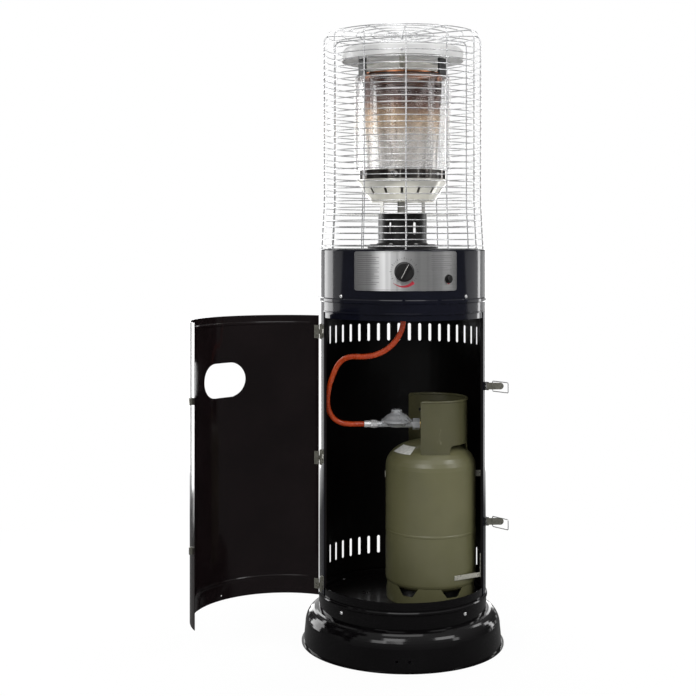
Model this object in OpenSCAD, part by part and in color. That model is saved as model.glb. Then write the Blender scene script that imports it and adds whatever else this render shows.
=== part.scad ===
/* [Base and cabinet] */
// Diameter of the base at the floor
base_d = 456; // [430:2:500]
// Height of the base shell up to the lower collar
base_h = 79; // [65:1:95]
// Height of the upright part of the base wall
base_wall_h = 42; // [30:1:50]
// Outside diameter of the cabinet
body_d = 376; // [366:2:390]
// Thickness of the painted sheet steel
sheet = 1.2; // [0.8:0.1:1.6]
// Height of the lower collar between base and door
collar_h = 39; // [30:1:50]
// Height of the cabinet wall above the lower collar
cabinet_h = 650; // [620:2:700]
// Height of the cabinet floor above the base shell
floor_rise = 21; // [12:1:30]
// Half of the angle that the door opening takes, from the front
opening_half = 69.5; // [66:0.5:72]
// Height of the sill lip above the lower collar
sill_h = 18; // [10:1:22]
// Height of the band above the door opening
header_h = 23; // [18:1:30]
// Width of a vent slot
vent_w = 7; // [4:0.5:9]
// Height of a vent slot
vent_h = 42; // [30:1:50]
// Slots in each row
vent_count = 21; // [15:2:23]
// Angle between two slots
vent_pitch = 7.7; // [7:0.1:8]

/* [Door] */
// Height of the door panel
door_h = 616; // [590:2:625]
// Gap under the door, above the collar
door_gap = 5; // [3:0.5:8]
// How far the door stands open, in degrees
door_open = 134; // [0:1:175]
// Width of the hand hole in the door
hand_hole_w = 117; // [90:1:130]
// Height of the hand hole in the door
hand_hole_h = 75; // [60:1:85]
// Height of the hand hole's middle above the door's lower edge
hand_hole_z = 477; // [440:1:500]
// Distance of the hinge pins outside the cabinet wall
hinge_offset = 7.5; // [7:0.5:9]
// Length of each hinge
hinge_len = 29; // [24:1:36]

/* [Control housing] */
// Height of the control housing
housing_h = 117; // [105:1:130]
// Height of the control panel
panel_h = 84; // [78:1:90]
// Half of the angle that the control panel takes
panel_half = 35.5; // [34:0.5:40]
// Height of the knob axis above the housing's lower edge
knob_z = 70; // [64:1:76]
// Distance of the knob to the right of the middle
knob_x = -4.4; // [-8:0.2:0]
// Diameter of the control knob
knob_d = 42; // [36:1:48]
// How far the knob pushes in
knob_travel = 4; // [2:0.5:5]
// Diameter of the igniter button
igniter_d = 12; // [8:1:14]
// How far the igniter button pushes in
igniter_travel = 3; // [2:0.5:4]
// Angle of the igniter button from the front
igniter_angle = 29; // [27:0.5:31]

/* [Burner head] */
// Diameter of the burner chamber
chamber_d = 111; // [96:1:120]
// Height of the burner chamber
chamber_h = 70; // [60:1:80]
// Diameter of the baffle disc
baffle_d = 254; // [220:2:270]
// Gap between the baffle disc and the bowl
bowl_gap = 26; // [18:1:30]
// Height of the slotted bowl
bowl_h = 50; // [40:1:56]
// Diameter of the bowl at its lower end
bowl_low_d = 144; // [130:1:156]
// Height of the band round the emitter's foot
band_h = 20; // [16:1:26]
// Diameter of the band
band_d = 198; // [190:1:204]
// Diameter of the glass tube
glass_d = 221; // [214:1:228]
// Height of the glass tube
glass_h = 210; // [190:1:215]
// Diameter of the emitter screen at the top
emitter_top_d = 180; // [172:1:186]
// Diameter of the emitter screen at the bottom
emitter_low_d = 154; // [146:1:164]
// Diameter of the top reflector
reflector_d = 275; // [250:1:300]
// Height of the top reflector
reflector_h = 27; // [20:1:34]

/* [Wire guard] */
// Height of the guard above the housing
guard_h = 485; // [470:1:520]
// Diameter over the guard wires
guard_d = 357; // [350:1:364]
// Diameter of an upright wire
upright_wire = 3; // [2.4:0.1:4]
// Diameter of a ring wire
ring_wire = 2.2; // [1.8:0.1:2.6]
// Distance from ring to ring
ring_pitch = 14; // [12:0.5:18]
// Radius of the bend at the top of an upright
corner_r = 15; // [10:1:24]

/* [Gas bottle] */
// Diameter of the gas bottle
bottle_d = 204; // [190:1:208]
// Height of the bottle's cylindrical part
bottle_body_h = 250; // [220:2:270]
// Diameter of the bottle's collar
bottle_collar_d = 166; // [150:1:170]
// Distance of the bottle to the right of the middle
bottle_x = 64; // [58:1:66]
// Outside diameter of the gas hose
hose_d = 12; // [10:0.5:13]

/* [Hidden] */
$fn = 96;
seat = 0.3;
run_gap = 0.05;

collar_z = base_h;
shelf_z = base_h + collar_h;
floor_z = base_h + floor_rise;
shell_top_z = shelf_z + cabinet_h;
deck_z = shell_top_z + housing_h;
guard_top_z = deck_z + guard_h;

base_r = base_d / 2;
body_r = body_d / 2;
body_in = body_r - sheet;
lip_r = body_in - seat;
bead_out = 3;
flange_r = 150;

door_z = shelf_z + door_gap;
hinge_r = body_r + hinge_offset;
hinge_half_gap = 0.5;
latch_half_gap = 0.3;
hinge_zs = [26.5, 307, 585] + [shelf_z, shelf_z, shelf_z];
pin_d = 3;
knuckle_r = 3.4;
leaf_t = 1.5;
leaf_w = 10;
latch_zs = [161, 462] + [shelf_z, shelf_z];
latch_angle = opening_half + 5.1;
pivot_out = 6.5;
loop_wire = 2;
lever_len = 34;
loop_len = 46;
loop_seat = 11;

panel_t = 0.8;
panel_r = body_r + run_gap + panel_t;
panel_z = shell_top_z + 29;
knob_axis_z = shell_top_z + knob_z;
knob_h = 18;
igniter_z = shell_top_z + 54;

// Angles are measured from the front, positive to the right
module at_angle(a, r, z) rotate([0, 0, a]) translate([0, -r, z]) children();
module front_arc(from, to) rotate([0, 0, from - 90]) rotate_extrude(angle = to - from) children();
module wall_arc(r_out, t, z0, z1, from, to)
    front_arc(from, to) translate([r_out - t, z0]) square([t, z1 - z0]);
module radial(d, h) rotate([90, 0, 0]) cylinder(d = d, h = h, center = true);
module ring(r_out, r_in, h) {
    difference() {
        cylinder(r = r_out, h = h);
        translate([0, 0, -1]) cylinder(r = r_in, h = h + 2);
    }
}
module slot_2d(w, h) {
    straight = h - w;
    square([w, straight], center = true);
    for (s = [-1, 1]) translate([0, s * straight / 2]) circle(d = w);
}
module radial_slot(w, h, depth) rotate([90, 0, 0]) linear_extrude(depth, center = true) slot_2d(w, h);

// Pan-head screw with a cross recess, its head towards +Z and its seat at 0
module pan_screw(d, head_d, head_h, shank) {
    difference() {
        rotate_extrude() polygon([[0, -shank], [d / 2, -shank], [d / 2, 0], [head_d / 2, 0],
            [head_d / 2, head_h * 0.45], [head_d * 0.32, head_h], [0, head_h]]);
        for (a = [0, 90]) rotate([0, 0, a]) translate([-head_d * 0.3, -0.4, head_h * 0.55])
            cube([head_d * 0.6, 0.8, head_h]);
    }
}
module outward_screw(a, r, z, d, head_d, head_h, shank)
    at_angle(a, r, z) rotate([90, 0, 0]) pan_screw(d, head_d, head_h, shank);

screw_d = 4;
screw_head_d = 7.6;
screw_head_h = 2.6;
collar_screw_angles = [-135, -46.4, 43, 135];
housing_screw_angles = [-134, -47.2, 44.2, 134];
screw_hole_d = screw_d + 0.4;
collar_screw_z = base_h + 20;
housing_screw_z = shell_top_z + 15;

// Base shell: lip on the floor, upright wall, convex shoulder, flange under the floor pan
lip_h = 2.5;
lip_w = 4.5;
wall_foot_r = base_r - lip_w;
wall_top_r = wall_foot_r - 4;
collar_r = body_r + 1;
shoulder_r = collar_r + 1;
function shoulder(t) = [for (a = [0:9:90])
    [shoulder_r + (wall_top_r - t - shoulder_r) * cos(a),
    base_wall_h + (base_h - t - base_wall_h) * sin(a)]];
function reversed(v) = [for (i = [len(v) - 1:-1:0]) v[i]];

base_hole_xs = [-21.5, 5.5];
base_hole_z = 23;
base_hole_d = 5;
module base_shell() {
    color([0.05, 0.05, 0.055]) difference() {
        rotate_extrude() polygon(concat(
            [[wall_foot_r - sheet, 0], [base_r, 0], [base_r, lip_h], [wall_foot_r, lip_h]],
            shoulder(0), [[flange_r, base_h], [flange_r, base_h - sheet]],
            reversed(shoulder(sheet)), [[wall_foot_r - sheet, lip_h]]));
        for (x = base_hole_xs) translate([x, -base_r, base_hole_z]) radial(base_hole_d, 30);
    }
}

pan_r = body_r - 5;
module cabinet_floor() {
    color([0.05, 0.05, 0.055]) difference() {
        rotate_extrude() polygon([[0, floor_z - sheet], [pan_r - sheet, floor_z - sheet],
            [pan_r - sheet, base_h], [pan_r, base_h], [pan_r, floor_z], [0, floor_z]]);
        for (a = [-120, -60, 60, 120]) at_angle(a, pan_r - 16, floor_z) cylinder(d = 6, h = 8, center = true);
    }
}

// Lower collar: skirt, bead, shelf for the cabinet wall, and sill lip behind the door's foot
module lower_collar() {
    bead_r = body_r + bead_out;
    low = shelf_z - 10;
    t = sheet;
    color([0.06, 0.06, 0.065]) difference() {
        rotate_extrude() polygon([[collar_r, collar_z], [collar_r, low], [bead_r, low + 2],
            [bead_r, low + 6], [collar_r, low + 8], [collar_r, shelf_z], [lip_r, shelf_z],
            [lip_r, shelf_z + sill_h], [lip_r - t, shelf_z + sill_h], [lip_r - t, shelf_z - t],
            [collar_r - t, shelf_z - t], [collar_r - t, low + 8 - t / 2], [bead_r - t, low + 6 - t / 2],
            [bead_r - t, low + 2 + t / 2], [collar_r - t, low + t / 2], [collar_r - t, collar_z]]);
        for (a = collar_screw_angles) at_angle(a, collar_r, collar_screw_z) radial(screw_hole_d, 10);
    }
}

vent_row_zs = [54, 565] + [shelf_z, shelf_z];
body_edge_left = -opening_half - hinge_half_gap;
body_edge_right = opening_half + latch_half_gap;
rivet_d = 3;
rivet_hole_d = rivet_d + 0.2;
leaf_rivet_back = 9;
hinge_rivet_z = hinge_len * 0.2;
function arc_deg(len, r) = len / r * 180 / PI;
leaf_rivet_angle = body_edge_left - arc_deg(leaf_rivet_back, body_r);
door_rivet_back = 5.5;

module body_shell() {
    color([0.06, 0.06, 0.065]) difference() {
        wall_arc(body_r, sheet, shelf_z, shell_top_z, body_edge_right, 360 + body_edge_left);
        for (z = vent_row_zs) for (k = [-(vent_count - 1) / 2:(vent_count - 1) / 2])
            at_angle(180 + k * vent_pitch, body_r, z) radial_slot(vent_w, vent_h, 8);
        for (z = hinge_zs, s = [-1, 1]) at_angle(leaf_rivet_angle, body_r, z + s * hinge_rivet_z)
            radial(rivet_hole_d, 8);
        for (z = latch_zs, s = [-1, 1]) at_angle(latch_angle, body_r, z + s * latch_rivet_z)
            radial(rivet_hole_d, 8);
    }
}

// Jamb channels: a hem across the wall's edge and a wing along its inside
jamb_depth = 5;
jamb_wing = 12.5;
wing_set = 0.2;
module jamb(edge, side) {
    hem = arc_deg(sheet, body_in);
    wing = arc_deg(jamb_wing, body_in);
    low = shelf_z + sill_h + seat;
    high = shell_top_z - header_h - header_lip - seat;
    difference() {
        union() {
            wall_arc(body_in - run_gap, jamb_depth, low, high, min(edge, edge + side * hem),
                max(edge, edge + side * hem));
            wall_arc(body_in - run_gap - wing_set, sheet, low + 1, high - 1,
                min(edge + side * hem / 2, edge + side * wing),
                max(edge + side * hem / 2, edge + side * wing));
        }
        if (side < 0) for (z = hinge_zs, s = [-1, 1])
            at_angle(leaf_rivet_angle, body_r, z + s * hinge_rivet_z) radial(rivet_hole_d, 12);
    }
}
module jamb_left() color([0.07, 0.07, 0.075]) jamb(body_edge_left, -1);
module jamb_right() color([0.07, 0.07, 0.075]) jamb(body_edge_right, 1);

// Upper collar: lip behind the door's head, and the beaded band over the opening
header_lip = 12;
module upper_collar() {
    band_z = shell_top_z - header_h;
    r = body_r;
    color([0.06, 0.06, 0.065]) union() {
        translate([0, 0, band_z - header_lip]) ring(lip_r, lip_r - sheet, header_h + header_lip);
        front_arc(body_edge_left + 0.1, body_edge_right - 0.1) polygon([[lip_r - 0.2, band_z], [r, band_z],
            [r + 1.5, band_z + 1], [r + 1.5, band_z + 3], [r, band_z + 4], [r, shell_top_z],
            [lip_r - 0.2, shell_top_z]]);
    }
}

// Housing: drum with a bead at its foot, a rounded top edge and an inward flange under the deck
edge_r = 3.5;
housing_flange_r = 150;
module control_housing() {
    z0 = shell_top_z;
    r = body_r;
    t = sheet;
    top_edge = [for (a = [0:15:90]) [r - edge_r + edge_r * cos(a), deck_z - edge_r + edge_r * sin(a)]];
    in_r = edge_r - t;
    under_edge = [for (a = [90:-15:0]) [r - edge_r + in_r * cos(a), deck_z - edge_r + in_r * sin(a)]];
    color([0.06, 0.06, 0.065]) difference() {
        rotate_extrude() polygon(concat([[r - t, z0], [r, z0], [r + 2, z0 + 2], [r + 2, z0 + 8],
            [r, z0 + 10]], top_edge, [[housing_flange_r, deck_z], [housing_flange_r, deck_z - t]],
            under_edge, [[r - t, z0 + 10 + t / 2], [r + 2 - t, z0 + 8 - t / 2],
            [r + 2 - t, z0 + 2 + t / 2]]));
        for (a = housing_screw_angles) at_angle(a, r, housing_screw_z) radial(screw_hole_d, 10);
        translate([knob_x, -r, knob_axis_z]) radial(stem_hole_d, 20);
        at_angle(igniter_angle, r, igniter_z) radial(igniter_hole_d, 20);
    }
}

module deck_plate() {
    color([0.3, 0.3, 0.31]) difference() {
        translate([0, 0, deck_z]) cylinder(r = deck_r, h = deck_t);
        translate([0, 0, deck_z - 1]) cylinder(r = pipe_hole_r, h = deck_t + 2);
    }
}
deck_r = 172;
deck_t = 1.2;
pipe_hole_r = 16;

module body_screws() {
    color([0.75, 0.75, 0.76]) {
        for (a = collar_screw_angles) outward_screw(a, collar_r + run_gap, collar_screw_z,
            screw_d, screw_head_d, screw_head_h, 5);
        for (a = housing_screw_angles) outward_screw(a, body_r + run_gap, housing_screw_z,
            screw_d, screw_head_d, screw_head_h, 5);
    }
}

// Hinges: the pin stands outside the wall at the opening's left edge
module at_hinges() for (z = hinge_zs) at_angle(-opening_half, 0, z) children();
// Rivet with its seat at 0, a head above it and a clinched head under a grip of this length
module rivet(grip) {
    cylinder(d = rivet_d + 1.6, h = 0.9);
    translate([0, 0, -grip - 0.1]) cylinder(d = rivet_d, h = grip + 0.2);
    translate([0, 0, -grip - 0.9]) cylinder(d = rivet_d + 1.4, h = 0.9);
}
body_knuckle = hinge_len / 3 - run_gap;
door_knuckle = hinge_len / 3 - 2 * run_gap;
leaf_seat_r = body_r + run_gap;

module knuckle(h) ring(knuckle_r, pin_d / 2 + run_gap, h);
module hinge_leaves_body() {
    edge = body_edge_left;
    color([0.55, 0.55, 0.52]) difference() {
        union() {
            for (z = hinge_zs) wall_arc(leaf_seat_r + leaf_t, leaf_t, z - hinge_len / 2, z + hinge_len / 2,
                edge - arc_deg(15, body_r), edge);
            at_hinges() for (z = [-hinge_len / 2, hinge_len / 2 - body_knuckle]) translate([0, 0, z]) {
                translate([0, -hinge_r, 0]) knuckle(body_knuckle);
                translate([-knuckle_r, -hinge_r - 1, 0]) cube([leaf_t, hinge_offset + 0.6, body_knuckle]);
            }
        }
        at_hinges() translate([0, -hinge_r, -hinge_len]) cylinder(r = pin_d / 2 + run_gap, h = 2 * hinge_len);
        for (z = hinge_zs, s = [-1, 1]) at_angle(leaf_rivet_angle, body_r, z + s * hinge_rivet_z)
            radial(rivet_hole_d, 8);
    }
}
module hinge_pins() {
    color([0.6, 0.6, 0.58]) {
        at_hinges() translate([0, -hinge_r, 0]) {
            translate([0, 0, -hinge_len / 2 - 1.5]) cylinder(d = pin_d, h = hinge_len + 3);
            for (z = [-hinge_len / 2 - 2.5, hinge_len / 2 + run_gap]) translate([0, 0, z])
                cylinder(r = knuckle_r - 0.6, h = 2.45);
        }
        for (z = hinge_zs, s = [-1, 1]) at_angle(leaf_rivet_angle, leaf_seat_r + leaf_t + run_gap,
            z + s * hinge_rivet_z) rotate([90, 0, 0]) rivet(leaf_t + 2 * sheet + wing_set + 4 * run_gap);
    }
}

// Everything that turns with the door is drawn closed and swung open about the hinge pins
pin_at = [-hinge_r * sin(opening_half), -hinge_r * cos(opening_half), 0];
module swung_open() translate(pin_at) rotate([0, 0, -door_open]) translate(-pin_at) children();
door_from = -opening_half + hinge_half_gap;
door_to = opening_half - latch_half_gap;
bead_w = 8;
bead_h = 1.2;
door_bead_zs = [37, 598] + [door_z, door_z];
door_leaf_rivet = door_from + arc_deg(door_rivet_back, body_r);

module door_panel() {
    color([0.1, 0.09, 0.09]) swung_open() difference() {
        union() {
            wall_arc(body_r, sheet, door_z, door_z + door_h, door_from, door_to);
            for (z = door_bead_zs) front_arc(door_from + arc_deg(20, body_r), door_to - arc_deg(8, body_r))
                polygon([[body_in + 0.2, z - bead_w / 2], [body_in + 0.2, z + bead_w / 2],
                    [body_in - bead_h, z + bead_w / 4], [body_in - bead_h, z - bead_w / 4]]);
        }
        translate([0, -body_r, door_z + hand_hole_z]) rotate([0, 90, 0])
            radial_slot(hand_hole_h, hand_hole_w, 80);
        at_angle(1, body_r, door_z + 10) radial(3, 10);
        for (z = hinge_zs, s = [-1, 1]) at_angle(door_leaf_rivet, body_r, z + s * hinge_rivet_z)
            radial(rivet_hole_d, 10);
        for (z = latch_zs, s = [-1, 1]) at_angle(catch_angle, body_r, z + s * catch_rivet_z)
            radial(rivet_hole_d, 10);
    }
}
// The lowest leaf ends just above the sill lip
leaf_foot_z = shelf_z + sill_h + 0.6;
module hinge_leaves_door() {
    in_r = body_in - run_gap;
    crank_w = 1.2;
    color([0.62, 0.62, 0.58]) swung_open() {
        difference() {
            union() {
                for (z = hinge_zs) wall_arc(in_r, leaf_t, max(z - hinge_len / 2, leaf_foot_z),
                    z + hinge_len / 2, door_from - arc_deg(1.4, body_r), door_from + arc_deg(leaf_w, body_r));
                at_hinges() translate([0, 0, -door_knuckle / 2]) {
                    translate([0, -hinge_r, 0]) knuckle(door_knuckle);
                    translate([-0.2, -hinge_r + pin_d / 2 + 1, 0])
                        cube([crank_w, hinge_r - in_r + leaf_t - pin_d / 2 - 1, door_knuckle]);
                }
            }
            for (z = hinge_zs, s = [-1, 1]) at_angle(door_leaf_rivet, body_r, z + s * hinge_rivet_z)
                radial(rivet_hole_d, 10);
        }
        for (z = hinge_zs, s = [-1, 1]) at_angle(door_leaf_rivet, in_r - leaf_t - run_gap,
            z + s * hinge_rivet_z) rotate([-90, 0, 0]) rivet(leaf_t + sheet + 3 * run_gap);
    }
}

// Catches on the door's outside: a riveted foot and a hook that the wire loop pulls on
catch_angle = opening_half - 6.5;
catch_h = 14;
catch_rivet_z = 4;
module door_catches() {
    r = body_r + run_gap;
    color([0.5, 0.5, 0.5]) swung_open() for (z = latch_zs) {
        difference() {
            union() {
                at_angle(catch_angle, r, z) translate([-6, -1.5, -catch_h / 2]) cube([12, 2, catch_h]);
                at_angle(catch_angle, r, z) translate([4.5, -6, -catch_h / 2]) cube([1.5, 6, catch_h]);
                at_angle(catch_angle, r, z) translate([1, -6, -catch_h / 2]) cube([5, 1.5, catch_h]);
            }
            cylinder(r = r, h = deck_z, $fn = 720);
            for (s = [-1, 1]) at_angle(catch_angle, r, z + s * catch_rivet_z) radial(rivet_hole_d, 20);
        }
        for (s = [-1, 1]) at_angle(catch_angle, r + 1.5 + run_gap, z + s * catch_rivet_z) rotate([90, 0, 0])
            rivet(1.5 + sheet + 3 * run_gap);
    }
}

// Latches: bracket on the wall, lever on its pin, wire loop on the lever
latch_h = 18;
ear_t = 1.2;
latch_rivet_z = 4;
lever_h = latch_h - 2 * ear_t - 0.4;
pivot_r = body_r + pivot_out;
latch_pin_d = 2.4;
lever_turn = 15.4;
loop_turn = -49;
module at_latch(z) at_angle(latch_angle, pivot_r, z) children();
module latch_brackets() {
    color([0.1, 0.1, 0.1]) for (z = latch_zs) {
        difference() {
            at_angle(latch_angle, body_r, z) translate([-6, -2.2, -latch_h / 2]) cube([16, 3, latch_h]);
            cylinder(r = leaf_seat_r, h = deck_z, $fn = 720);
            for (s = [-1, 1]) at_angle(latch_angle, body_r, z + s * latch_rivet_z) radial(rivet_hole_d, 20);
        }
        at_latch(z) for (s = [-1, 1]) translate([0, 0, s * (latch_h - ear_t) / 2]) {
            cylinder(r = 2.8, h = ear_t, center = true);
            translate([-2.8, 0, -ear_t / 2]) cube([5.6, pivot_out - 2, ear_t]);
        }
        at_latch(z) cylinder(d = latch_pin_d, h = latch_h, center = true);
        for (s = [-1, 1]) at_angle(latch_angle, body_r + 2.2 + run_gap, z + s * latch_rivet_z)
            rotate([90, 0, 0]) rivet(2.2 + sheet + 2 * run_gap);
    }
}
// The lever points along local +X when its bracket faces the right
module latch_lever(z) {
    tip_w = 6;
    eye_d = latch_pin_d + 2 * run_gap;
    color([0.66, 0.66, 0.62]) at_latch(z) rotate([0, 0, lever_turn - 90]) difference() {
        union() {
            cylinder(r = 2.6, h = lever_h, center = true);
            rotate([90, 0, 0]) linear_extrude(1.2, center = true) union() {
                translate([0, -lever_h / 2]) square([lever_len - tip_w, lever_h]);
                translate([lever_len - tip_w, 0]) circle(r = lever_h / 2);
            }
            translate([loop_seat, 0, 0]) cylinder(r = loop_wire / 2 + 1.2, h = lever_h, center = true);
        }
        cylinder(d = eye_d, h = latch_h, center = true);
        translate([loop_seat, 0, 0]) cylinder(d = loop_wire + 2 * run_gap, h = latch_h, center = true);
    }
}
// Wire loop: a closed round-cornered wire whose inner side turns in the lever
module latch_loop(z) {
    half = latch_h / 2 + 2.2;
    bend = 2.5;
    r = loop_wire / 2;
    color([0.72, 0.72, 0.7]) at_latch(z) rotate([0, 0, lever_turn - 90]) translate([loop_seat, 0, 0])
        rotate([0, 0, loop_turn]) rotate([90, 0, 0]) union() {
            for (x = [0, loop_len]) translate([x, 0, 0]) rotate([90, 0, 0])
                cylinder(r = r, h = 2 * (half - bend), center = true);
            for (s = [-1, 1]) {
                translate([bend, s * half, 0]) rotate([0, 90, 0]) cylinder(r = r, h = loop_len - 2 * bend);
                translate([loop_len - bend, s * (half - bend), 0]) rotate([0, 0, s > 0 ? 0 : -90])
                    rotate_extrude(angle = 90) translate([bend, 0]) circle(r = r);
                translate([bend, s * (half - bend), 0]) rotate([0, 0, s > 0 ? 90 : 180])
                    rotate_extrude(angle = 90) translate([bend, 0]) circle(r = r);
            }
        }
}
module latch_lever_upper() latch_lever(latch_zs[1]);
module latch_lever_lower() latch_lever(latch_zs[0]);
module latch_loop_upper() latch_loop(latch_zs[1]);
module latch_loop_lower() latch_loop(latch_zs[0]);

// Control panel: a curved stainless plate with rounded corners
module rounded_2d(w, h, r) {
    square([w - 2 * r, h], center = true);
    square([w, h - 2 * r], center = true);
    for (x = [-1, 1], y = [-1, 1]) translate([x * (w / 2 - r), y * (h / 2 - r)]) circle(r = r);
}
module control_panel() {
    w = 2 * panel_r * sin(panel_half);
    color([0.78, 0.78, 0.79]) difference() {
        intersection() {
            wall_arc(panel_r, panel_t, panel_z - 1, panel_z + panel_h + 1, -panel_half - 2, panel_half + 2);
            translate([0, -panel_r, panel_z + panel_h / 2]) rotate([90, 0, 0])
                linear_extrude(200, center = true) rounded_2d(w, panel_h, 5);
        }
        translate([knob_x, -body_r, knob_axis_z]) radial(stem_hole_d, 20);
        at_angle(igniter_angle, body_r, igniter_z) radial(igniter_hole_d, 20);
    }
}

// Knob: skirt, drum and grip bar; its spindle runs through the stem collar into the valve
stem_d = 8;
stem_hole_d = 16;
knob_seat = panel_r + 1.2 + knob_travel;
stem_len = 34;
module at_knob() translate([knob_x, -knob_seat, knob_axis_z]) rotate([90, 0, 0]) children();
knob_turn = -28;
module control_knob() {
    color([0.08, 0.08, 0.085]) at_knob() rotate([0, 0, knob_turn]) union() {
        difference() {
            rotate_extrude() polygon([[0, 0], [knob_d / 2, 0], [knob_d / 2, 3], [knob_d / 2 - 1.5, 4],
                [knob_d / 2 - 2.5, knob_h - 7], [knob_d / 2 - 3.5, knob_h - 6], [0, knob_h - 6]]);
            translate([0, 0, -1]) cylinder(r = knob_d / 2 - 5, h = 4);
        }
        intersection() {
            translate([-4, -knob_d / 2, knob_h - 8]) cube([8, knob_d, 8]);
            cylinder(r = knob_d / 2 - 3, h = knob_h);
        }
        translate([0, 0, -stem_len]) cylinder(d = stem_d, h = stem_len + 3);
    }
}
// The sprung collar slides with the knob but doesn't turn
stem_collar_z = 20;
stem_collar_h = 5;
stem_collar_r = 7;
module stem_collar() {
    color([0.7, 0.62, 0.35]) at_knob() translate([0, 0, -stem_collar_z - stem_collar_h])
        ring(stem_collar_r, stem_d / 2 + run_gap, stem_collar_h);
}
valve_w = 36;
valve_h = 44;
valve_depth = 34;
valve_front = body_r - 12 - knob_travel;
inlet_y = -valve_front + 32;
module gas_control_valve() {
    mouth = 10.5;
    color([0.72, 0.66, 0.45]) translate([knob_x, 0, 0]) difference() {
        union() {
            translate([-valve_w / 2, -valve_front + 8, knob_axis_z - valve_h / 2])
                cube([valve_w, valve_depth, valve_h]);
            at_angle(0, valve_front, knob_axis_z) rotate([-90, 0, 0]) cylinder(r = mouth, h = 10);
            translate([0, inlet_y, knob_axis_z - valve_h / 2 - 12]) cylinder(r = 8, h = 14);
        }
        at_angle(0, valve_front - 12, knob_axis_z) radial(2 * (stem_collar_r + seat), 26);
        at_angle(0, valve_front - 28, knob_axis_z) radial(stem_d + 0.6, 14);
    }
}
module valve_bracket() {
    z0 = knob_axis_z - valve_h / 2;
    y0 = -valve_front + 8 + valve_depth + run_gap;
    color([0.5, 0.5, 0.5]) difference() {
        union() {
            translate([-30, y0, z0]) cube([60, 1.5, valve_h]);
            for (s = [-1, 1]) translate([s > 0 ? 28.5 : -30, -body_in + 1.5, z0])
                cube([1.5, y0 + body_in - 0.5, valve_h]);
            for (s = [-1, 1]) translate([s > 0 ? 28.5 : -40, -body_in + 1.5, z0]) cube([11.5, 8, valve_h]);
        }
        translate([0, 0, z0 - 1]) ring(body_r + 40, body_in - seat, valve_h + 2);
        for (s = [-1, 1]) translate([s > 0 ? 30 : -41, -body_in + 7, z0 - 1]) cube([11, 9, valve_h + 2]);
        translate([knob_x, y0, knob_axis_z]) radial(2 * supply_nut_r + 2, 10);
    }
}

// Igniter: button in the nose of the piezo body behind the panel
igniter_hole_d = 16.4;
igniter_seat = panel_r + 1 + igniter_travel;
module at_igniter() at_angle(igniter_angle, igniter_seat, igniter_z) rotate([90, 0, 0]) children();
module igniter_button() {
    color([0.07, 0.07, 0.07]) at_igniter() translate([0, 0, -16]) rotate_extrude()
        polygon([[0, 0], [igniter_d / 2, 0], [igniter_d / 2, 19.2], [igniter_d / 2 - 0.8, 20], [0, 20]]);
}
module piezo_igniter() {
    nose_out = panel_r + 1.4 - igniter_seat;
    bore_d = igniter_d + 0.2;
    color([0.12, 0.12, 0.12]) at_igniter() difference() {
        union() {
            translate([0, 0, -55]) cylinder(d = 15.6, h = 55 + nose_out);
            translate([0, 0, nose_out - 1]) cylinder(d = 19, h = 1);
            translate([0, 0, -17]) cylinder(d = 22, h = 6, $fn = 6);
        }
        translate([0, 0, -16 - igniter_travel - 1]) cylinder(d = bore_d, h = 40);
    }
}
module tilt_switch() {
    color([0.9, 0.9, 0.88]) at_angle(-42, body_in - seat - 12, panel_z + 24) difference() {
        translate([-11, -8, 0]) cube([22, 18, 30]);
        translate([0, 0, -1]) cylinder(d = 4, h = 32);
    }
    color([0.5, 0.5, 0.5]) difference() {
        at_angle(-42, body_in - seat - 12, panel_z + 20) translate([-16, -14, 0]) cube([32, 26, 4]);
        translate([0, 0, panel_z - 1]) ring(body_r + 40, body_in - seat, 60);
    }
}

// Supply pipe from the valve's back to the middle, then up into the injector
supply_bend = 14;
supply_pipe_r = 4;
supply_nut_r = 7;
injector_r = 9;
module supply_pipe() {
    start_y = -valve_front + 8 + valve_depth + run_gap;
    low = deck_z - 9;
    bend = supply_bend;
    color([0.75, 0.73, 0.7]) translate([0, 0, knob_axis_z]) union() {
        translate([knob_x, start_y, 0]) rotate([-90, 0, 0]) cylinder(r = supply_nut_r, h = 10);
        translate([knob_x, start_y, 0]) rotate([-90, 0, 0])
            cylinder(r = supply_pipe_r, h = -start_y - bend);
        translate([knob_x, -bend, bend]) rotate([0, 90, 0])
            rotate_extrude(angle = 90) translate([bend, 0]) circle(r = supply_pipe_r);
        translate([knob_x, 0, bend]) cylinder(r = supply_pipe_r, h = low - knob_axis_z - bend + 1);
        translate([0, 0, low - knob_axis_z]) cylinder(r = injector_r, h = 32);
    }
}

// Pilot assembly beside the burner: bracket, pilot tube, thermocouple and electrode
pilot_x = 92;
pilot_turn = 80;
module pilot_assembly() {
    z0 = deck_z + deck_t;
    color([0.6, 0.6, 0.58]) rotate([0, 0, pilot_turn]) union() {
        translate([pilot_x - 7, 20, z0]) cube([14, 40, 1.5]);
        translate([pilot_x - 7, 20, z0]) cube([1.5, 40, 34]);
        translate([pilot_x - 1, 28, z0]) cylinder(r = 3.2, h = 44);
        translate([pilot_x - 1, 40, z0]) cylinder(r = 2.4, h = 52);
        translate([pilot_x - 1, 52, z0]) cylinder(r = 2, h = 48);
    }
}

// Burner head, stacked on the deck
chamber_r = chamber_d / 2;
burner_base_h = 12;
chamber_z = deck_z + deck_t + burner_base_h;
baffle_z = deck_z + deck_t + chamber_h + 9;
bowl_z = baffle_z + bowl_gap;
band_z = bowl_z + bowl_h;
glass_z = band_z + band_h;
steel = 0.8;
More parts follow.
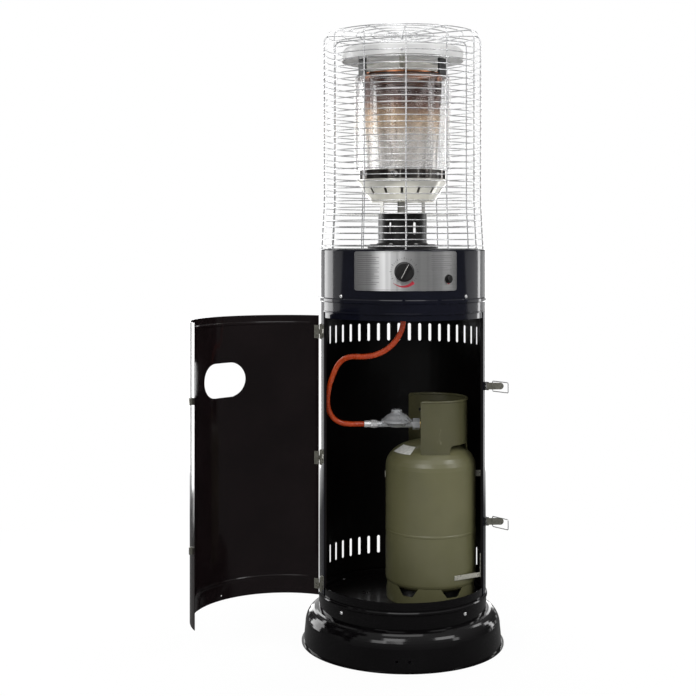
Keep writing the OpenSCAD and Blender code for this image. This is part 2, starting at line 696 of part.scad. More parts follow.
// The whole burner head stands turned by this angle
burner_turn = -3;
module burner_base() {
    z0 = deck_z + deck_t;
    r = 79;
    color([0.2, 0.2, 0.21]) difference() {
        rotate_extrude() polygon([[pipe_hole_r, z0], [r, z0], [r, z0 + 2], [r - 5, z0 + base_land_h],
            [chamber_r + 3, z0 + base_land_h], [chamber_r + 1, z0 + burner_base_h],
            [pipe_hole_r, z0 + burner_base_h]]);
        for (a = base_screw_angles) at_angle(a, base_screw_r, z0)
            cylinder(d = screw_hole_d, h = 40, center = true);
    }
}
base_land_h = 9;
base_screw_angles = [-155, -25, 25, 155];
base_screw_r = chamber_r + 10;
chamber_wall = 1.5;
module burner_chamber() {
    h = baffle_z - chamber_z;
    color([0.06, 0.06, 0.06]) difference() {
        translate([0, 0, chamber_z]) cylinder(r = chamber_r, h = h);
        translate([0, 0, chamber_z + chamber_wall]) cylinder(r = chamber_r - chamber_wall, h = h);
        translate([0, 0, chamber_z - 1]) cylinder(r = 12, h = 6);
        for (k = [0:5]) at_angle(30 + burner_turn + k * 60, chamber_r, chamber_z + h * 0.5)
            radial_slot(7, 28, 10);
    }
}
module baffle_disc() {
    r = baffle_d / 2;
    color([0.75, 0.75, 0.74]) rotate_extrude() polygon([[20, baffle_z], [chamber_r + 4, baffle_z],
        [r - 4, baffle_z - 3], [r, baffle_z - 3], [r, baffle_z - 3 + steel],
        [r - 4, baffle_z - 3 + steel], [chamber_r + 4, baffle_z + steel], [20, baffle_z + steel]]);
}
bracket_r = 50;
bracket_angles = [-68, 0, 68, 180];
module bowl_brackets() {
    z0 = baffle_z + steel;
    h = bowl_gap - 2 * steel;
    color([0.6, 0.6, 0.6]) for (a = bracket_angles) at_angle(a, bracket_r, z0) union() {
        translate([-9, -0.8, 0]) cube([18, 1.6, h]);
        translate([-9, -0.8, 0]) cube([18, 10, 1.2]);
        translate([-9, -0.8, h - 1.2]) cube([18, 10, 1.2]);
    }
}
bowl_slots = 15;
bowl_rim = 1.2;
bowl_hole_r = 30;
module slotted_bowl() {
    low_r = bowl_low_d / 2;
    top_r = band_d / 2 + 5;
    t = steel;
    lean = atan2(top_r - low_r, bowl_h);
    mid_r = (top_r + low_r) / 2;
    color([0.8, 0.8, 0.8]) difference() {
        rotate_extrude() polygon([[low_r - bowl_rim, bowl_z - t], [low_r, bowl_z - t],
            [top_r, band_z - t - 3], [top_r, band_z - t], [band_d / 2 - 6, band_z - t],
            [band_d / 2 - 6, band_z - 2 * t], [top_r - t, band_z - 2 * t], [top_r - t, band_z - t - 3],
            [low_r - t / 2, bowl_z], [low_r - bowl_rim, bowl_z]]);
        for (k = [0:bowl_slots - 1])
            at_angle(burner_turn + k * 360 / bowl_slots, mid_r, (bowl_z + band_z) / 2 - 1)
            rotate([-lean, 0, 0]) radial_slot(6, 44, 14);
    }
}
// Floor plate that is spot-welded inside the bowl's foot
module bowl_floor() {
    color([0.78, 0.78, 0.78]) translate([0, 0, bowl_z - steel])
        ring(bowl_low_d / 2 - bowl_rim - run_gap, bowl_hole_r, steel);
}
module emitter_band() {
    r = band_d / 2;
    color([0.5, 0.5, 0.5]) difference() {
        union() {
            translate([0, 0, band_z]) ring(r, r - steel, band_h - seat);
            translate([0, 0, band_z]) ring(r, emitter_low_d / 2 - 3, steel);
        }
        for (a = band_screw_angles) at_angle(a, r, band_screw_z) radial(band_screw_d + 0.3, 8);
        at_angle(sight_angle, r, band_screw_z) rotate([0, 90, 0]) radial_slot(sight_h, sight_w, 10);
    }
}
band_screw_angles = [-127, -53, 53, 127] + burner_turn * [1, 1, 1, 1];
band_screw_z = band_z + band_h / 2;
band_screw_d = 3;
sight_angle = -10.5 + burner_turn;
sight_w = 18;
sight_h = 11;
emitter_h = glass_h + 8;
module emitter_screen() {
    z0 = band_z + steel;
    z1 = glass_z + emitter_h;
    r0 = emitter_low_d / 2;
    r1 = emitter_top_d / 2;
    t = steel;
    color([0.72, 0.66, 0.6]) rotate_extrude() polygon([[r0, z0], [r1, z1 - 6], [r1, z1], [r1 - t, z1],
        [r1 - t, z1 - 6], [r0 - t, z0]]);
}
glass_t = 2.5;
glass_shoulder = 10;
module glass_tube() {
    r = glass_d / 2;
    z1 = glass_z + glass_h;
    s = glass_shoulder;
    outer = [for (a = [0:15:75]) [r - s + s * cos(a), z1 - s + s * sin(a)]];
    q = s - glass_t;
    inner = [for (a = [75:-15:0]) [r - s + q * cos(a), z1 - s + q * sin(a)]];
    color([0.85, 0.9, 0.92, 0.4]) rotate_extrude()
        polygon(concat([[r - glass_t, glass_z], [r, glass_z]], outer, inner));
}

// Posts carry the dish and the reflector on the glass tube's shoulder ring
post_r = 104;
post_angles = [-122, -58, 58, 122] + burner_turn * [1, 1, 1, 1];
post_w = 28;
post_t = 5;
reflector_z = glass_z + glass_h + 37;
dish_z = reflector_z - 13;
dish_bolt_d = 6;
post_z = glass_z + glass_h + 0.1;
module reflector_posts() {
    h = reflector_z - post_z + 3;
    ring_z = post_z;
    color([0.06, 0.06, 0.06]) union() {
        for (a = post_angles) at_angle(a, post_r, post_z) translate([-post_w / 2, -post_t / 2, 0])
            cube([post_w, post_t, h - 3.1]);
        translate([0, 0, ring_z]) ring(post_r + post_t / 2, emitter_top_d / 2 + 1, 2);
    }
}
module inner_dish() {
    r = 91;
    t = steel;
    rise = 10;
    bore = dish_bolt_d / 2 + 0.2;
    color([0.86, 0.86, 0.83]) rotate_extrude() polygon([[bore, dish_z + rise],
        [r * 0.55, dish_z + rise * 0.8], [r, dish_z], [r, dish_z - 1.5], [r + t, dish_z - 1.5],
        [r + t, dish_z + t], [r * 0.55, dish_z + rise * 0.8 + t], [bore, dish_z + rise + t]]);
    color([0.3, 0.3, 0.3]) union() {
        translate([0, 0, dish_z - 12]) cylinder(d = dish_bolt_d,
            h = reflector_z + reflector_h - dish_z + 12 - steel - run_gap);
        translate([0, 0, dish_z - 2]) cylinder(d = 14, h = rise + 2 - run_gap);
        translate([-13, -1, dish_z - 10]) cube([26, 2, 7]);
        translate([0, 0, dish_z - 8]) cylinder(d = 11, h = 7);
        translate([0, 0, reflector_z + 2]) cylinder(d = 14, h = reflector_h - 2 - steel - run_gap);
    }
}
module top_reflector() {
    r = reflector_d / 2;
    z1 = reflector_z + reflector_h;
    t = steel;
    color([0.8, 0.8, 0.8]) union() {
        difference() {
            rotate_extrude() polygon([[0, z1 - t], [r - 6 - t, z1 - t], [r - t, z1 - 6], [r - t, reflector_z],
                [r, reflector_z], [r, z1 - 6], [r - 6, z1], [0, z1]]);
            for (a = reflector_screw_angles) at_angle(a, r, reflector_screw_z) radial(band_screw_d + 0.3, 8);
        }
        for (a = post_angles) at_angle(a, post_r, reflector_z) translate([-9, -1, 0.05])
            cube([18, 2, reflector_h - t]);
        for (a = clip_angles) at_angle(a, r, reflector_z + 2.5) translate([-3, -0.8, 0]) cube([6, 1.2, 16]);
    }
}
reflector_screw_angles = [-127, 0, 127] + burner_turn * [1, 1, 1];
clip_angles = [-140.7, -39.3, 39.3, 140.7] + burner_turn * [1, 1, 1, 1];
reflector_screw_z = reflector_z + 9;
module burner_screws() {
    z0 = deck_z + deck_t;
    color([0.75, 0.75, 0.74]) {
        for (a = band_screw_angles)
            outward_screw(a, band_d / 2 + run_gap, band_screw_z, band_screw_d, 6.5, 2.2, 4);
        for (a = reflector_screw_angles)
            outward_screw(a, reflector_d / 2 + run_gap, reflector_screw_z, band_screw_d, 6.5, 2.2, 4);
        for (a = base_screw_angles) at_angle(a, base_screw_r, z0 + base_land_h + run_gap)
            pan_screw(screw_d, 8, 2.6, base_land_h - 1);
    }
}

// Wire guard: twelve uprights, each with its bay of ring arcs, and a flat top grille
bay = 30;
bay_gap = 0.03;
upright_r = guard_d / 2 - upright_wire / 2;
weld = 0.6;
ring_set_in = upright_wire / 2 + ring_wire / 2 - weld;
kink_h = 99;
kink_z = deck_z + kink_h;
foot_r = body_r - edge_r - upright_wire / 2 - 0.5;
foot_z = deck_z + seat;
first_ring_z = deck_z + 7;
ring_count = 1 + floor((guard_h - corner_r - 10.7) / ring_pitch);
wire_top_z = guard_top_z - upright_wire / 2 - ring_wire + weld;
function upright_at(z) = z >= kink_z ? upright_r
    : upright_r + (foot_r - upright_r) * (kink_z - z) / (kink_z - foot_z);

kink_r = 40;
corner_ring_angle = 58;
module guard_bay() {
    splay = atan2(foot_r - upright_r, kink_z - foot_z);
    tangent_len = kink_r * tan(splay / 2);
    knee_z = kink_z + tangent_len;
    union() {
        translate([0, -upright_r, knee_z]) cylinder(d = upright_wire, h = wire_top_z - corner_r - knee_z);
        translate([0, -upright_r + corner_r, wire_top_z - corner_r]) rotate([0, -90, 0]) rotate([0, 0, -90])
            rotate_extrude(angle = 90) translate([corner_r, 0]) circle(d = upright_wire);
        translate([0, -upright_r - kink_r, knee_z]) rotate([0, -90, 0]) rotate([0, 0, 90])
            rotate_extrude(angle = splay) translate([kink_r, 0]) circle(d = upright_wire);
        translate([0, -upright_r - kink_r * (1 - cos(splay)), knee_z - kink_r * sin(splay)])
            rotate([180 - splay, 0, 0]) cylinder(d = upright_wire,
                h = (knee_z - kink_r * sin(splay) - foot_z) / cos(splay));
        for (k = [0:ring_count - 1]) {
            z = first_ring_z + k * ring_pitch;
            front_arc(-bay / 2 + bay_gap, bay / 2 - bay_gap)
                translate([upright_at(z) + ring_set_in, z]) circle(d = ring_wire);
        }
        front_arc(-bay / 2 + bay_gap, bay / 2 - bay_gap)
            translate([upright_r - corner_r, wire_top_z - corner_r]) rotate(corner_ring_angle)
                translate([corner_r + ring_set_in, 0]) circle(d = ring_wire);
    }
}
module guard_quarter(first) {
    color([0.82, 0.82, 0.83]) for (k = [0:2]) rotate([0, 0, (first + k) * bay]) guard_bay();
}
module guard_front() guard_quarter(-1);
module guard_right() guard_quarter(2);
module guard_back() guard_quarter(5);
module guard_left() guard_quarter(8);

hub_r = 10;
top_ring_pitch = 33;
module guard_top() {
    spoke_end = upright_r - corner_r - 0.1;
    color([0.82, 0.82, 0.83]) union() {
        translate([0, 0, wire_top_z - 2.4]) cylinder(r = hub_r, h = 4.8);
        for (k = [0:11]) rotate([0, 0, k * bay]) translate([0, -hub_r + 2, wire_top_z]) rotate([90, 0, 0])
            cylinder(d = upright_wire, h = spoke_end - hub_r + 2);
        for (r = [38:top_ring_pitch:spoke_end - 8]) translate([0, 0, wire_top_z + ring_set_in])
            rotate_extrude() translate([r, 0]) circle(d = ring_wire);
        translate([0, 0, wire_top_z - 8]) cylinder(d = 5, h = 6);
    }
}

// Gas bottle, on its foot ring on the cabinet floor
bottle_r = bottle_d / 2;
bottle_wall = 2.5;
foot_h = 40;
foot_r_out = bottle_r - 2;
bottle_body_z = floor_z + 46;
dome_h = 30;
shoulder_h = 56;
neck_r = 17;
bottle_top_z = bottle_body_z + bottle_body_h + shoulder_h;
module at_bottle() translate([bottle_x, 0, 0]) children();
function shoulder_arc(t, r, z, h) = [for (a = [0:9:90])
    [neck_r - t + (r - neck_r) * cos(a), z + (h - t) * sin(a)]];
function lower_arc(t, r, z, h) = [for (a = [-90:9:0]) [(r - t) * cos(a), z + (h - t) * sin(a)]];

module bottle_shell() {
    r = bottle_r;
    z0 = bottle_body_z;
    z1 = bottle_body_z + bottle_body_h;
    t = bottle_wall;
    seam_z = z0 + bottle_body_h * 0.43;
    color([0.38, 0.37, 0.27]) at_bottle() rotate_extrude() polygon(concat(
        lower_arc(0, r, z0, dome_h), [[r, seam_z - 3], [r + 0.8, seam_z - 1.5], [r + 0.8, seam_z + 1.5],
        [r, seam_z + 3]], shoulder_arc(0, r, z1, shoulder_h), [[neck_r, bottle_top_z + 4],
        [valve_stem_r + run_gap, bottle_top_z + 4], [valve_stem_r + run_gap, bottle_top_z - t]],
        reversed(shoulder_arc(t, r, z1, shoulder_h)), reversed(lower_arc(t, r, z0, dome_h))));
}
valve_stem_r = 12;

// Foot ring with six trapezoid cut-outs between its tabs
module bottle_foot_ring() {
    r = foot_r_out;
    t = 2.5;
    color([0.37, 0.36, 0.26]) at_bottle() difference() {
        translate([0, 0, floor_z]) ring(r, r - t, foot_h);
        for (k = [0:5]) at_angle(k * 60 + 25, r, floor_z) rotate([90, 0, 0]) linear_extrude(30, center = true)
            polygon([[-13, 20], [13, 20], [28, foot_h + 1], [-28, foot_h + 1]]);
        bottle_clearance();
    }
}
// The bottle's outer form, a hair larger, to trim what is welded to it
module bottle_clearance() {
    r = bottle_r + run_gap;
    z1 = bottle_body_z + bottle_body_h;
    rotate_extrude() polygon(concat(lower_arc(0, r, bottle_body_z, dome_h + run_gap),
        shoulder_arc(0, r, z1, shoulder_h + run_gap), [[0, bottle_top_z + run_gap]]));
}

// Collar: open to the left, three feet on the shoulder, a rolled top rim
bottle_collar_h = 120;
collar_top_z = bottle_top_z + 98;
collar_from = -19;
collar_to = 214;
module bottle_collar() {
    r = bottle_collar_d / 2;
    t = 2.2;
    low = collar_top_z - bottle_collar_h;
    color([0.38, 0.37, 0.27]) at_bottle() difference() {
        union() {
            wall_arc(r, t, low, collar_top_z - 3, collar_from, collar_to);
            front_arc(collar_from + 2, collar_to - 2) translate([r - t / 2, collar_top_z - 3]) circle(r = 3);
        }
        for (a = [51, 139]) at_angle(a, r, low) rotate([90, 0, 0]) linear_extrude(50, center = true) union() {
            translate([-33, -30]) square([66, 40]);
            translate([-23, -30]) square([46, 50]);
            for (s = [-1, 1]) translate([s * 23, 10]) circle(r = 10);
        }
        bottle_clearance();
    }
}

// Bottle valve: body in the neck, side outlet to the left, spindle for the handwheel
outlet_z = bottle_top_z + 36;
outlet_len = 25;
module bottle_valve() {
    z0 = bottle_top_z;
    color([0.75, 0.65, 0.35]) at_bottle() union() {
        translate([0, 0, z0 - 10]) cylinder(r = valve_stem_r, h = 16);
        translate([0, 0, z0 + 4 + run_gap]) cylinder(r = 16, h = 8, $fn = 6);
        translate([0, 0, z0 + 10]) cylinder(r = 13, h = outlet_z - z0 + 4);
        translate([0, 0, outlet_z]) rotate([0, -90, 0]) cylinder(r = 10, h = outlet_len);
        translate([0, 0, outlet_z]) cylinder(r = 8, h = 24);
        translate([0, 0, outlet_z]) cylinder(r = 3.5, h = 42);
    }
}
wheel_z = outlet_z + 26;
module valve_handwheel() {
    hub = 7.5;
    bore = 3.5 + run_gap;
    color([0.12, 0.12, 0.12]) at_bottle() translate([0, 0, wheel_z]) difference() {
        union() {
            rotate_extrude() translate([23, 7]) circle(r = 4);
            cylinder(r = hub, h = 13);
            for (k = [0:3]) rotate([0, 0, k * 90]) translate([hub - 2, -3, 4.5]) cube([15, 6, 5]);
        }
        translate([0, 0, -1]) cylinder(r = bore, h = 16);
    }
}
tag_r = 75;
tag_angle = -56;
tag_half = 21;
tag_len = 28;
tag_t = 0.8;
module bottle_tag() {
    reach = (tag_r - neck_r) / (bottle_r - neck_r);
    rise = sqrt(1 - reach * reach);
    slope = atan(shoulder_h / (bottle_r - neck_r) * reach / rise);
    color([0.8, 0.8, 0.78]) at_bottle() front_arc(tag_angle - tag_half, tag_angle + tag_half)
        translate([tag_r, bottle_top_z - shoulder_h * (1 - rise) + run_gap]) rotate(-slope)
            translate([-tag_len / 2, 0]) square([tag_len, tag_t]);
}
// Retaining strap: a leg on the right jamb, a straight strip, and a pad that hugs the bottle's front
strap_z = 163;
strap_t = 1.5;
strap_w = 10;
module bottle_strap() {
    rho = bottle_r + seat + strap_t;
    leg_a = body_edge_right + 1.7;
    leg_r = body_in - run_gap - jamb_depth - 0.1;
    q = [leg_r * sin(leg_a) - bottle_x, leg_r * cos(leg_a)];
    touch = atan2(q[0], q[1]) - acos(rho / norm(q));
    straight = sqrt(norm(q) * norm(q) - rho * rho);
    color([0.5, 0.5, 0.42]) union() {
        at_bottle() wall_arc(rho, strap_t, strap_z - strap_w / 2, strap_z + strap_w / 2, touch - 3, touch);
        at_bottle() rotate([0, 0, touch]) translate([0, -rho, strap_z - strap_w / 2])
            cube([straight, strap_t, strap_w]);
        at_angle(leg_a, leg_r, strap_z - strap_w / 2) translate([-4, 0, 0]) cube([8, strap_t, 52]);
    }
}
// Rear band round the bottle's back, on two feet on the cabinet wall
rear_band_z = 365;
rear_band_h = 14;
module bottle_rear_band() {
    r = bottle_r + seat;
    color([0.12, 0.12, 0.12]) union() {
        at_bottle() wall_arc(r + 1.5, 1.5, rear_band_z, rear_band_z + rear_band_h, 95, 262);
        for (a = [103, 150]) {
            p = [bottle_x + (r + 0.75) * sin(a), -(r + 0.75) * cos(a)];
            across = atan2(p[0], -p[1]);
            at_angle(across, lip_r, rear_band_z) translate([-1, 0, 0])
                cube([2, lip_r - norm(p), rear_band_h]);
            front_arc(across - 3, across + 3)
                translate([lip_r - 1.5, rear_band_z]) square([1.5, rear_band_h]);
        }
    }
}

// Regulator on the bottle's outlet
reg_r = 35;
union_x = reg_r + 1;
union_len = 16;
reg_x = bottle_x - outlet_len - union_x - union_len;
module at_regulator() translate([reg_x, 0, outlet_z]) children();
module regulator_body() {
    color([0.55, 0.56, 0.56]) at_regulator() union() {
        rotate_extrude() polygon([[0, -6], [16, -6], [30, 3], [reg_r, 5], [reg_r, 8], [0, 8]]);
        rotate([0, 90, 0]) cylinder(r = 8, h = union_x + 1);
        rotate([0, -90, 0]) cylinder(r = 7, h = 44);
        translate([union_x, 0, 0]) rotate([0, 90, 0]) cylinder(r = 13, h = union_len, $fn = 6);
    }
}
module regulator_cover() {
    color([0.6, 0.61, 0.61]) at_regulator() rotate_extrude() polygon([[0, 8 + run_gap], [reg_r, 8 + run_gap],
        [reg_r, 10], [30, 13], [22, 21], [14, 25], [12.5, 26], [12.5, 31], [11, 33], [0, 33]]);
}
hose_end_x = reg_x - 73;
module hose_fittings() {
    nut_x = reg_x - 44 - run_gap;
    top_z = knob_axis_z - valve_h / 2 - 12 - run_gap;
    color([0.62, 0.6, 0.55]) {
        translate([nut_x, 0, outlet_z]) rotate([0, -90, 0]) cylinder(r = 9, h = 14, $fn = 6);
        translate([nut_x - 14, 0, outlet_z]) rotate([0, -90, 0])
            cylinder(r = 7.5, h = nut_x - 14 - hose_end_x);
        translate([knob_x, inlet_y, top_z - 14]) cylinder(r = 9, h = 14, $fn = 6);
        translate([knob_x, inlet_y, hose_top_z]) cylinder(r = 7.5, h = top_z - 14 - hose_top_z);
    }
}

// Gas hose: a round tube swept along points chosen by hand, from the valve down to the regulator
hose_top_z = knob_axis_z - 86;
hose_points = [[-4.4, -140, 752], [-4.4, -140, 728], [-9, -139, 708], [-20, -136, 688], [-39, -130, 669],
    [-64, -121, 656], [-90, -110, 651], [-113, -98, 650], [-133, -85, 643], [-147, -73, 627],
    [-157, -60, 604], [-165, -47, 578], [-169, -35, 551], [-167, -24, 525], [-157, -14, 504],
    [-140, -6, 492], [-118, -1, 488], [-98, 0, 488], [-86, 0, 488]];
hose_start = hose_points[0];
hose_end = hose_points[len(hose_points) - 1];
// The route stretches with the heater, so that its two ends stay in their ferrules
hose_stretch = [(knob_x - hose_end_x) / (hose_start[0] - hose_end[0]), inlet_y / hose_start[1],
    (hose_top_z - outlet_z) / (hose_start[2] - hose_end[2])];
hose_route = [for (p = hose_points) [hose_end_x + (p[0] - hose_end[0]) * hose_stretch[0],
    p[1] * hose_stretch[1], outlet_z + (p[2] - hose_end[2]) * hose_stretch[2]]];
hose_sides = 12;
function unit(v) = v / norm(v);
function tangent(p, i) = unit(p[min(i + 1, len(p) - 1)] - p[max(i - 1, 0)]);
function hose_tangent(p, i) = i == 0 ? unit(p[1] - p[0])
    : i == len(p) - 1 ? unit(p[i] - p[i - 1]) : tangent(p, i);
function hose_ring(p, i, r, n) = let (t = hose_tangent(p, i), u = unit(cross([0, 1, 0], t)), v = cross(t, u))
    [for (k = [0:n - 1]) p[i] + r * (cos(k * 360 / n) * u + sin(k * 360 / n) * v)];

module gas_hose() {
    n = hose_sides;
    last = len(hose_route) - 1;
    points = [for (i = [0:last]) each hose_ring(hose_route, i, hose_d / 2, n)];
    sides = [for (i = [0:last - 1], k = [0:n - 1]) let (a = i * n + k, b = i * n + (k + 1) % n)
        each [[a, b, b + n], [a, b + n, a + n]]];
    caps = [[for (k = [n - 1:-1:0]) k], [for (k = [0:n - 1]) last * n + k]];
    color([0.85, 0.33, 0.12]) polyhedron(points, concat([for (f = sides) reversed(f)],
        [for (f = caps) reversed(f)]));
}

base_shell();
cabinet_floor();
lower_collar();
body_shell();
jamb_left();
jamb_right();
upper_collar();
control_housing();
deck_plate();
body_screws();
hinge_leaves_body();
hinge_pins();
hinge_leaves_door();
door_panel();
door_catches();
latch_brackets();
latch_lever_upper();
latch_lever_lower();
latch_loop_upper();
latch_loop_lower();
control_panel();
control_knob();
stem_collar();
gas_control_valve();
valve_bracket();
igniter_button();
piezo_igniter();
tilt_switch();
supply_pipe();
pilot_assembly();
burner_base();
burner_chamber();
baffle_disc();
bowl_brackets();
bowl_floor();
slotted_bowl();
emitter_band();
emitter_screen();
glass_tube();
reflector_posts();
inner_dish();
top_reflector();
burner_screws();
guard_front();
guard_right();
guard_back();
guard_left();
guard_top();
bottle_shell();
bottle_foot_ring();
bottle_collar();
bottle_valve();
valve_handwheel();
bottle_tag();
bottle_strap();
bottle_rear_band();
regulator_body();
regulator_cover();
hose_fittings();
gas_hose();
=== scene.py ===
"""Looks of a gas patio heater with its door open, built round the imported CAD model.

Lengths are in metres and angles in degrees. Front is -Y, up is +Z, and an angle about the heater's
middle is measured from the front, positive towards +X.
"""

import math
import random

import bmesh
import bpy
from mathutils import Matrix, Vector


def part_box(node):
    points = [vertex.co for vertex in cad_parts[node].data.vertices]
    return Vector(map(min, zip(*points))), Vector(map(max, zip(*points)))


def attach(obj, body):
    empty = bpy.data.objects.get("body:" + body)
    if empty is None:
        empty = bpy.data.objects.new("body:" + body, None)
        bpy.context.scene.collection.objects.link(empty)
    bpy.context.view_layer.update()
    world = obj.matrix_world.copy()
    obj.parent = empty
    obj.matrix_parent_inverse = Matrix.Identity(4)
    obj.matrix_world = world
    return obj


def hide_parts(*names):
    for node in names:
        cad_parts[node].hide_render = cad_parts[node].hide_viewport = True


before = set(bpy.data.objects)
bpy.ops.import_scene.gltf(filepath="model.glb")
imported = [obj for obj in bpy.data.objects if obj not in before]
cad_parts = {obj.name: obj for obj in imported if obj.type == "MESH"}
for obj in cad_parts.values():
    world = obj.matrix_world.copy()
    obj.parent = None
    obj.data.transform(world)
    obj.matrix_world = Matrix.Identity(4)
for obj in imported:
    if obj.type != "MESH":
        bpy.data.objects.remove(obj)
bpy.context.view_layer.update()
MM = 0.001


# Camera, at the photograph's height and distance
CAMERA_AT = (-0.1232, -2.825, 0.911)
CAMERA_LENS = 64.47
CAMERA_SHIFT_Y = -0.1591
CAMERA_REACH = 900
SENSOR_WIDTH = 36


def make_camera():
    data = bpy.data.cameras.new("camera")
    data.sensor_width = SENSOR_WIDTH
    data.lens = CAMERA_LENS
    data.shift_y = CAMERA_SHIFT_Y
    data.clip_end = CAMERA_REACH
    camera = bpy.data.objects.new("camera", data)
    camera.location = CAMERA_AT
    camera.rotation_euler = (math.radians(90), 0, 0)
    bpy.context.scene.collection.objects.link(camera)
    bpy.context.scene.camera = camera


make_camera()


# Small helpers for colours, places and meshes. A direction shorter than this counts as none.
SHORTEST = 1e-6


def srgb(r, g, b):
    """A colour from 0 to 255 as the linear value that the shader takes."""
    def linear(c):
        c = c / 255
        return c / 12.92 if c <= 0.04045 else ((c + 0.055) / 1.055) ** 2.4
    return (linear(r), linear(g), linear(b), 1)


def grey(level):
    return srgb(level, level, level)


def polar(radius, angle, z):
    """A place at this radius and angle about the heater's middle."""
    a = math.radians(angle)
    return Vector((radius * math.sin(a), -radius * math.cos(a), z))


def height(node):
    low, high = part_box(node)
    return low.z, high.z


def centre(node):
    low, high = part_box(node)
    return (low + high) / 2


def add_mesh(name, verts, faces, material, body, smooth=True):
    mesh = bpy.data.meshes.new(name)
    mesh.from_pydata([tuple(v) for v in verts], [], faces)
    mesh.validate()
    piece = bpy.data.objects.new(name, mesh)
    bpy.context.scene.collection.objects.link(piece)
    mesh.materials.append(material)
    tidy = bmesh.new()
    tidy.from_mesh(mesh)
    bmesh.ops.recalc_face_normals(tidy, faces=tidy.faces)
    tidy.to_mesh(mesh)
    tidy.free()
    mesh.polygons.foreach_set("use_smooth", [smooth] * len(mesh.polygons))
    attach(piece, body)
    return piece


class Solids:
    """Collects closed solids that become one mesh."""

    def __init__(self):
        self.verts = []
        self.faces = []

    def add(self, verts, faces):
        start = len(self.verts)
        self.verts += verts
        self.faces += [[start + i for i in face] for face in faces]

    def bar(self, place, steps, u0, u1, v0, v1, thick):
        """A thin strip: place(u, v, w) maps along, across and out of the surface it lies on.

        v0 and v1 are the strip's two edges, as numbers or as functions of the share of its length.
        """
        verts = []
        for i in range(steps + 1):
            u = u0 + (u1 - u0) * i / steps
            low, high = (v0(i / steps), v1(i / steps)) if callable(v0) else (v0, v1)
            verts += [place(u, low, 0), place(u, high, 0), place(u, high, thick), place(u, low, thick)]
        faces = [[0, 1, 2, 3], [4 * steps + k for k in (3, 2, 1, 0)]]
        for i in range(steps):
            for k in range(4):
                a, b = 4 * i + k, 4 * i + (k + 1) % 4
                faces.append([a, b, b + 4, a + 4])
        self.add(verts, faces)

    def tube(self, points, radii, sides):
        """A round tube with flat ends along points, with a radius for each of them."""
        verts = []
        side = Vector((0, 0, 1))
        for i, point in enumerate(points):
            ahead = points[min(i + 1, len(points) - 1)] - points[max(i - 1, 0)]
            ahead.normalize()
            side = side - ahead * side.dot(ahead)
            if side.length < SHORTEST:
                side = ahead.orthogonal()
            side.normalize()
            up = ahead.cross(side)
            for k in range(sides):
                a = 2 * math.pi * k / sides
                verts.append(point + (side * math.cos(a) + up * math.sin(a)) * radii[i])
        rows = len(points)
        faces = [list(range(sides - 1, -1, -1)), [(rows - 1) * sides + k for k in range(sides)]]
        for i in range(rows - 1):
            for k in range(sides):
                a, b = i * sides + k, i * sides + (k + 1) % sides
                faces.append([a, b, b + sides, a + sides])
        self.add(verts, faces)

    def piece(self, name, material, body, smooth=True):
        return add_mesh(name, self.verts, self.faces, material, body, smooth)


# Materials: each one is a node tree with its own colour variation, gloss variation and relief.
# A face is an inside face when it looks towards the middle by more than this.
INWARD_LIMIT = -0.02


class Nodes:
    """Adds nodes to one node tree and links them."""

    def __init__(self, tree):
        self.tree = tree

    def add(self, kind, **values):
        node = self.tree.nodes.new(kind)
        for key, value in values.items():
            setattr(node, key, value)
        return node

    def link(self, source, target):
        self.tree.links.new(source, target)

    def feed(self, value, socket):
        """Links a socket to another node's output, or sets it to a number or colour."""
        if isinstance(value, bpy.types.NodeSocket):
            self.link(value, socket)
        else:
            socket.default_value = value

    def parts(self, vector):
        """A vector's three values, by the names X, Y and Z."""
        node = self.add("ShaderNodeSeparateXYZ")
        self.link(vector, node.inputs["Vector"])
        return node.outputs

    def length(self, vector):
        node = self.add("ShaderNodeVectorMath", operation="LENGTH")
        self.link(vector, node.inputs[0])
        return node.outputs["Value"]

    def combined(self, operation, first, second, clamp=False):
        """Two values put together by a sum, a product or the like."""
        node = self.add("ShaderNodeMath", operation=operation, use_clamp=clamp)
        self.feed(first, node.inputs[0])
        self.feed(second, node.inputs[1])
        return node.outputs["Value"]

    def spread(self, source, low, high, from_low=0.3, from_high=0.7):
        """The source's span from from_low to from_high, laid over low to high and held at its ends."""
        node = self.add("ShaderNodeMapRange")
        node.inputs["From Min"].default_value = from_low
        node.inputs["From Max"].default_value = from_high
        node.inputs["To Min"].default_value = low
        node.inputs["To Max"].default_value = high
        self.link(source, node.inputs["Value"])
        return node.outputs["Result"]

    def mixed(self, factor, first, second):
        """The first shader where the factor is 0 and the second where it is 1."""
        node = self.add("ShaderNodeMixShader")
        self.link(factor, node.inputs["Fac"])
        self.link(first, node.inputs[1])
        self.link(second, node.inputs[2])
        return node.outputs["Shader"]


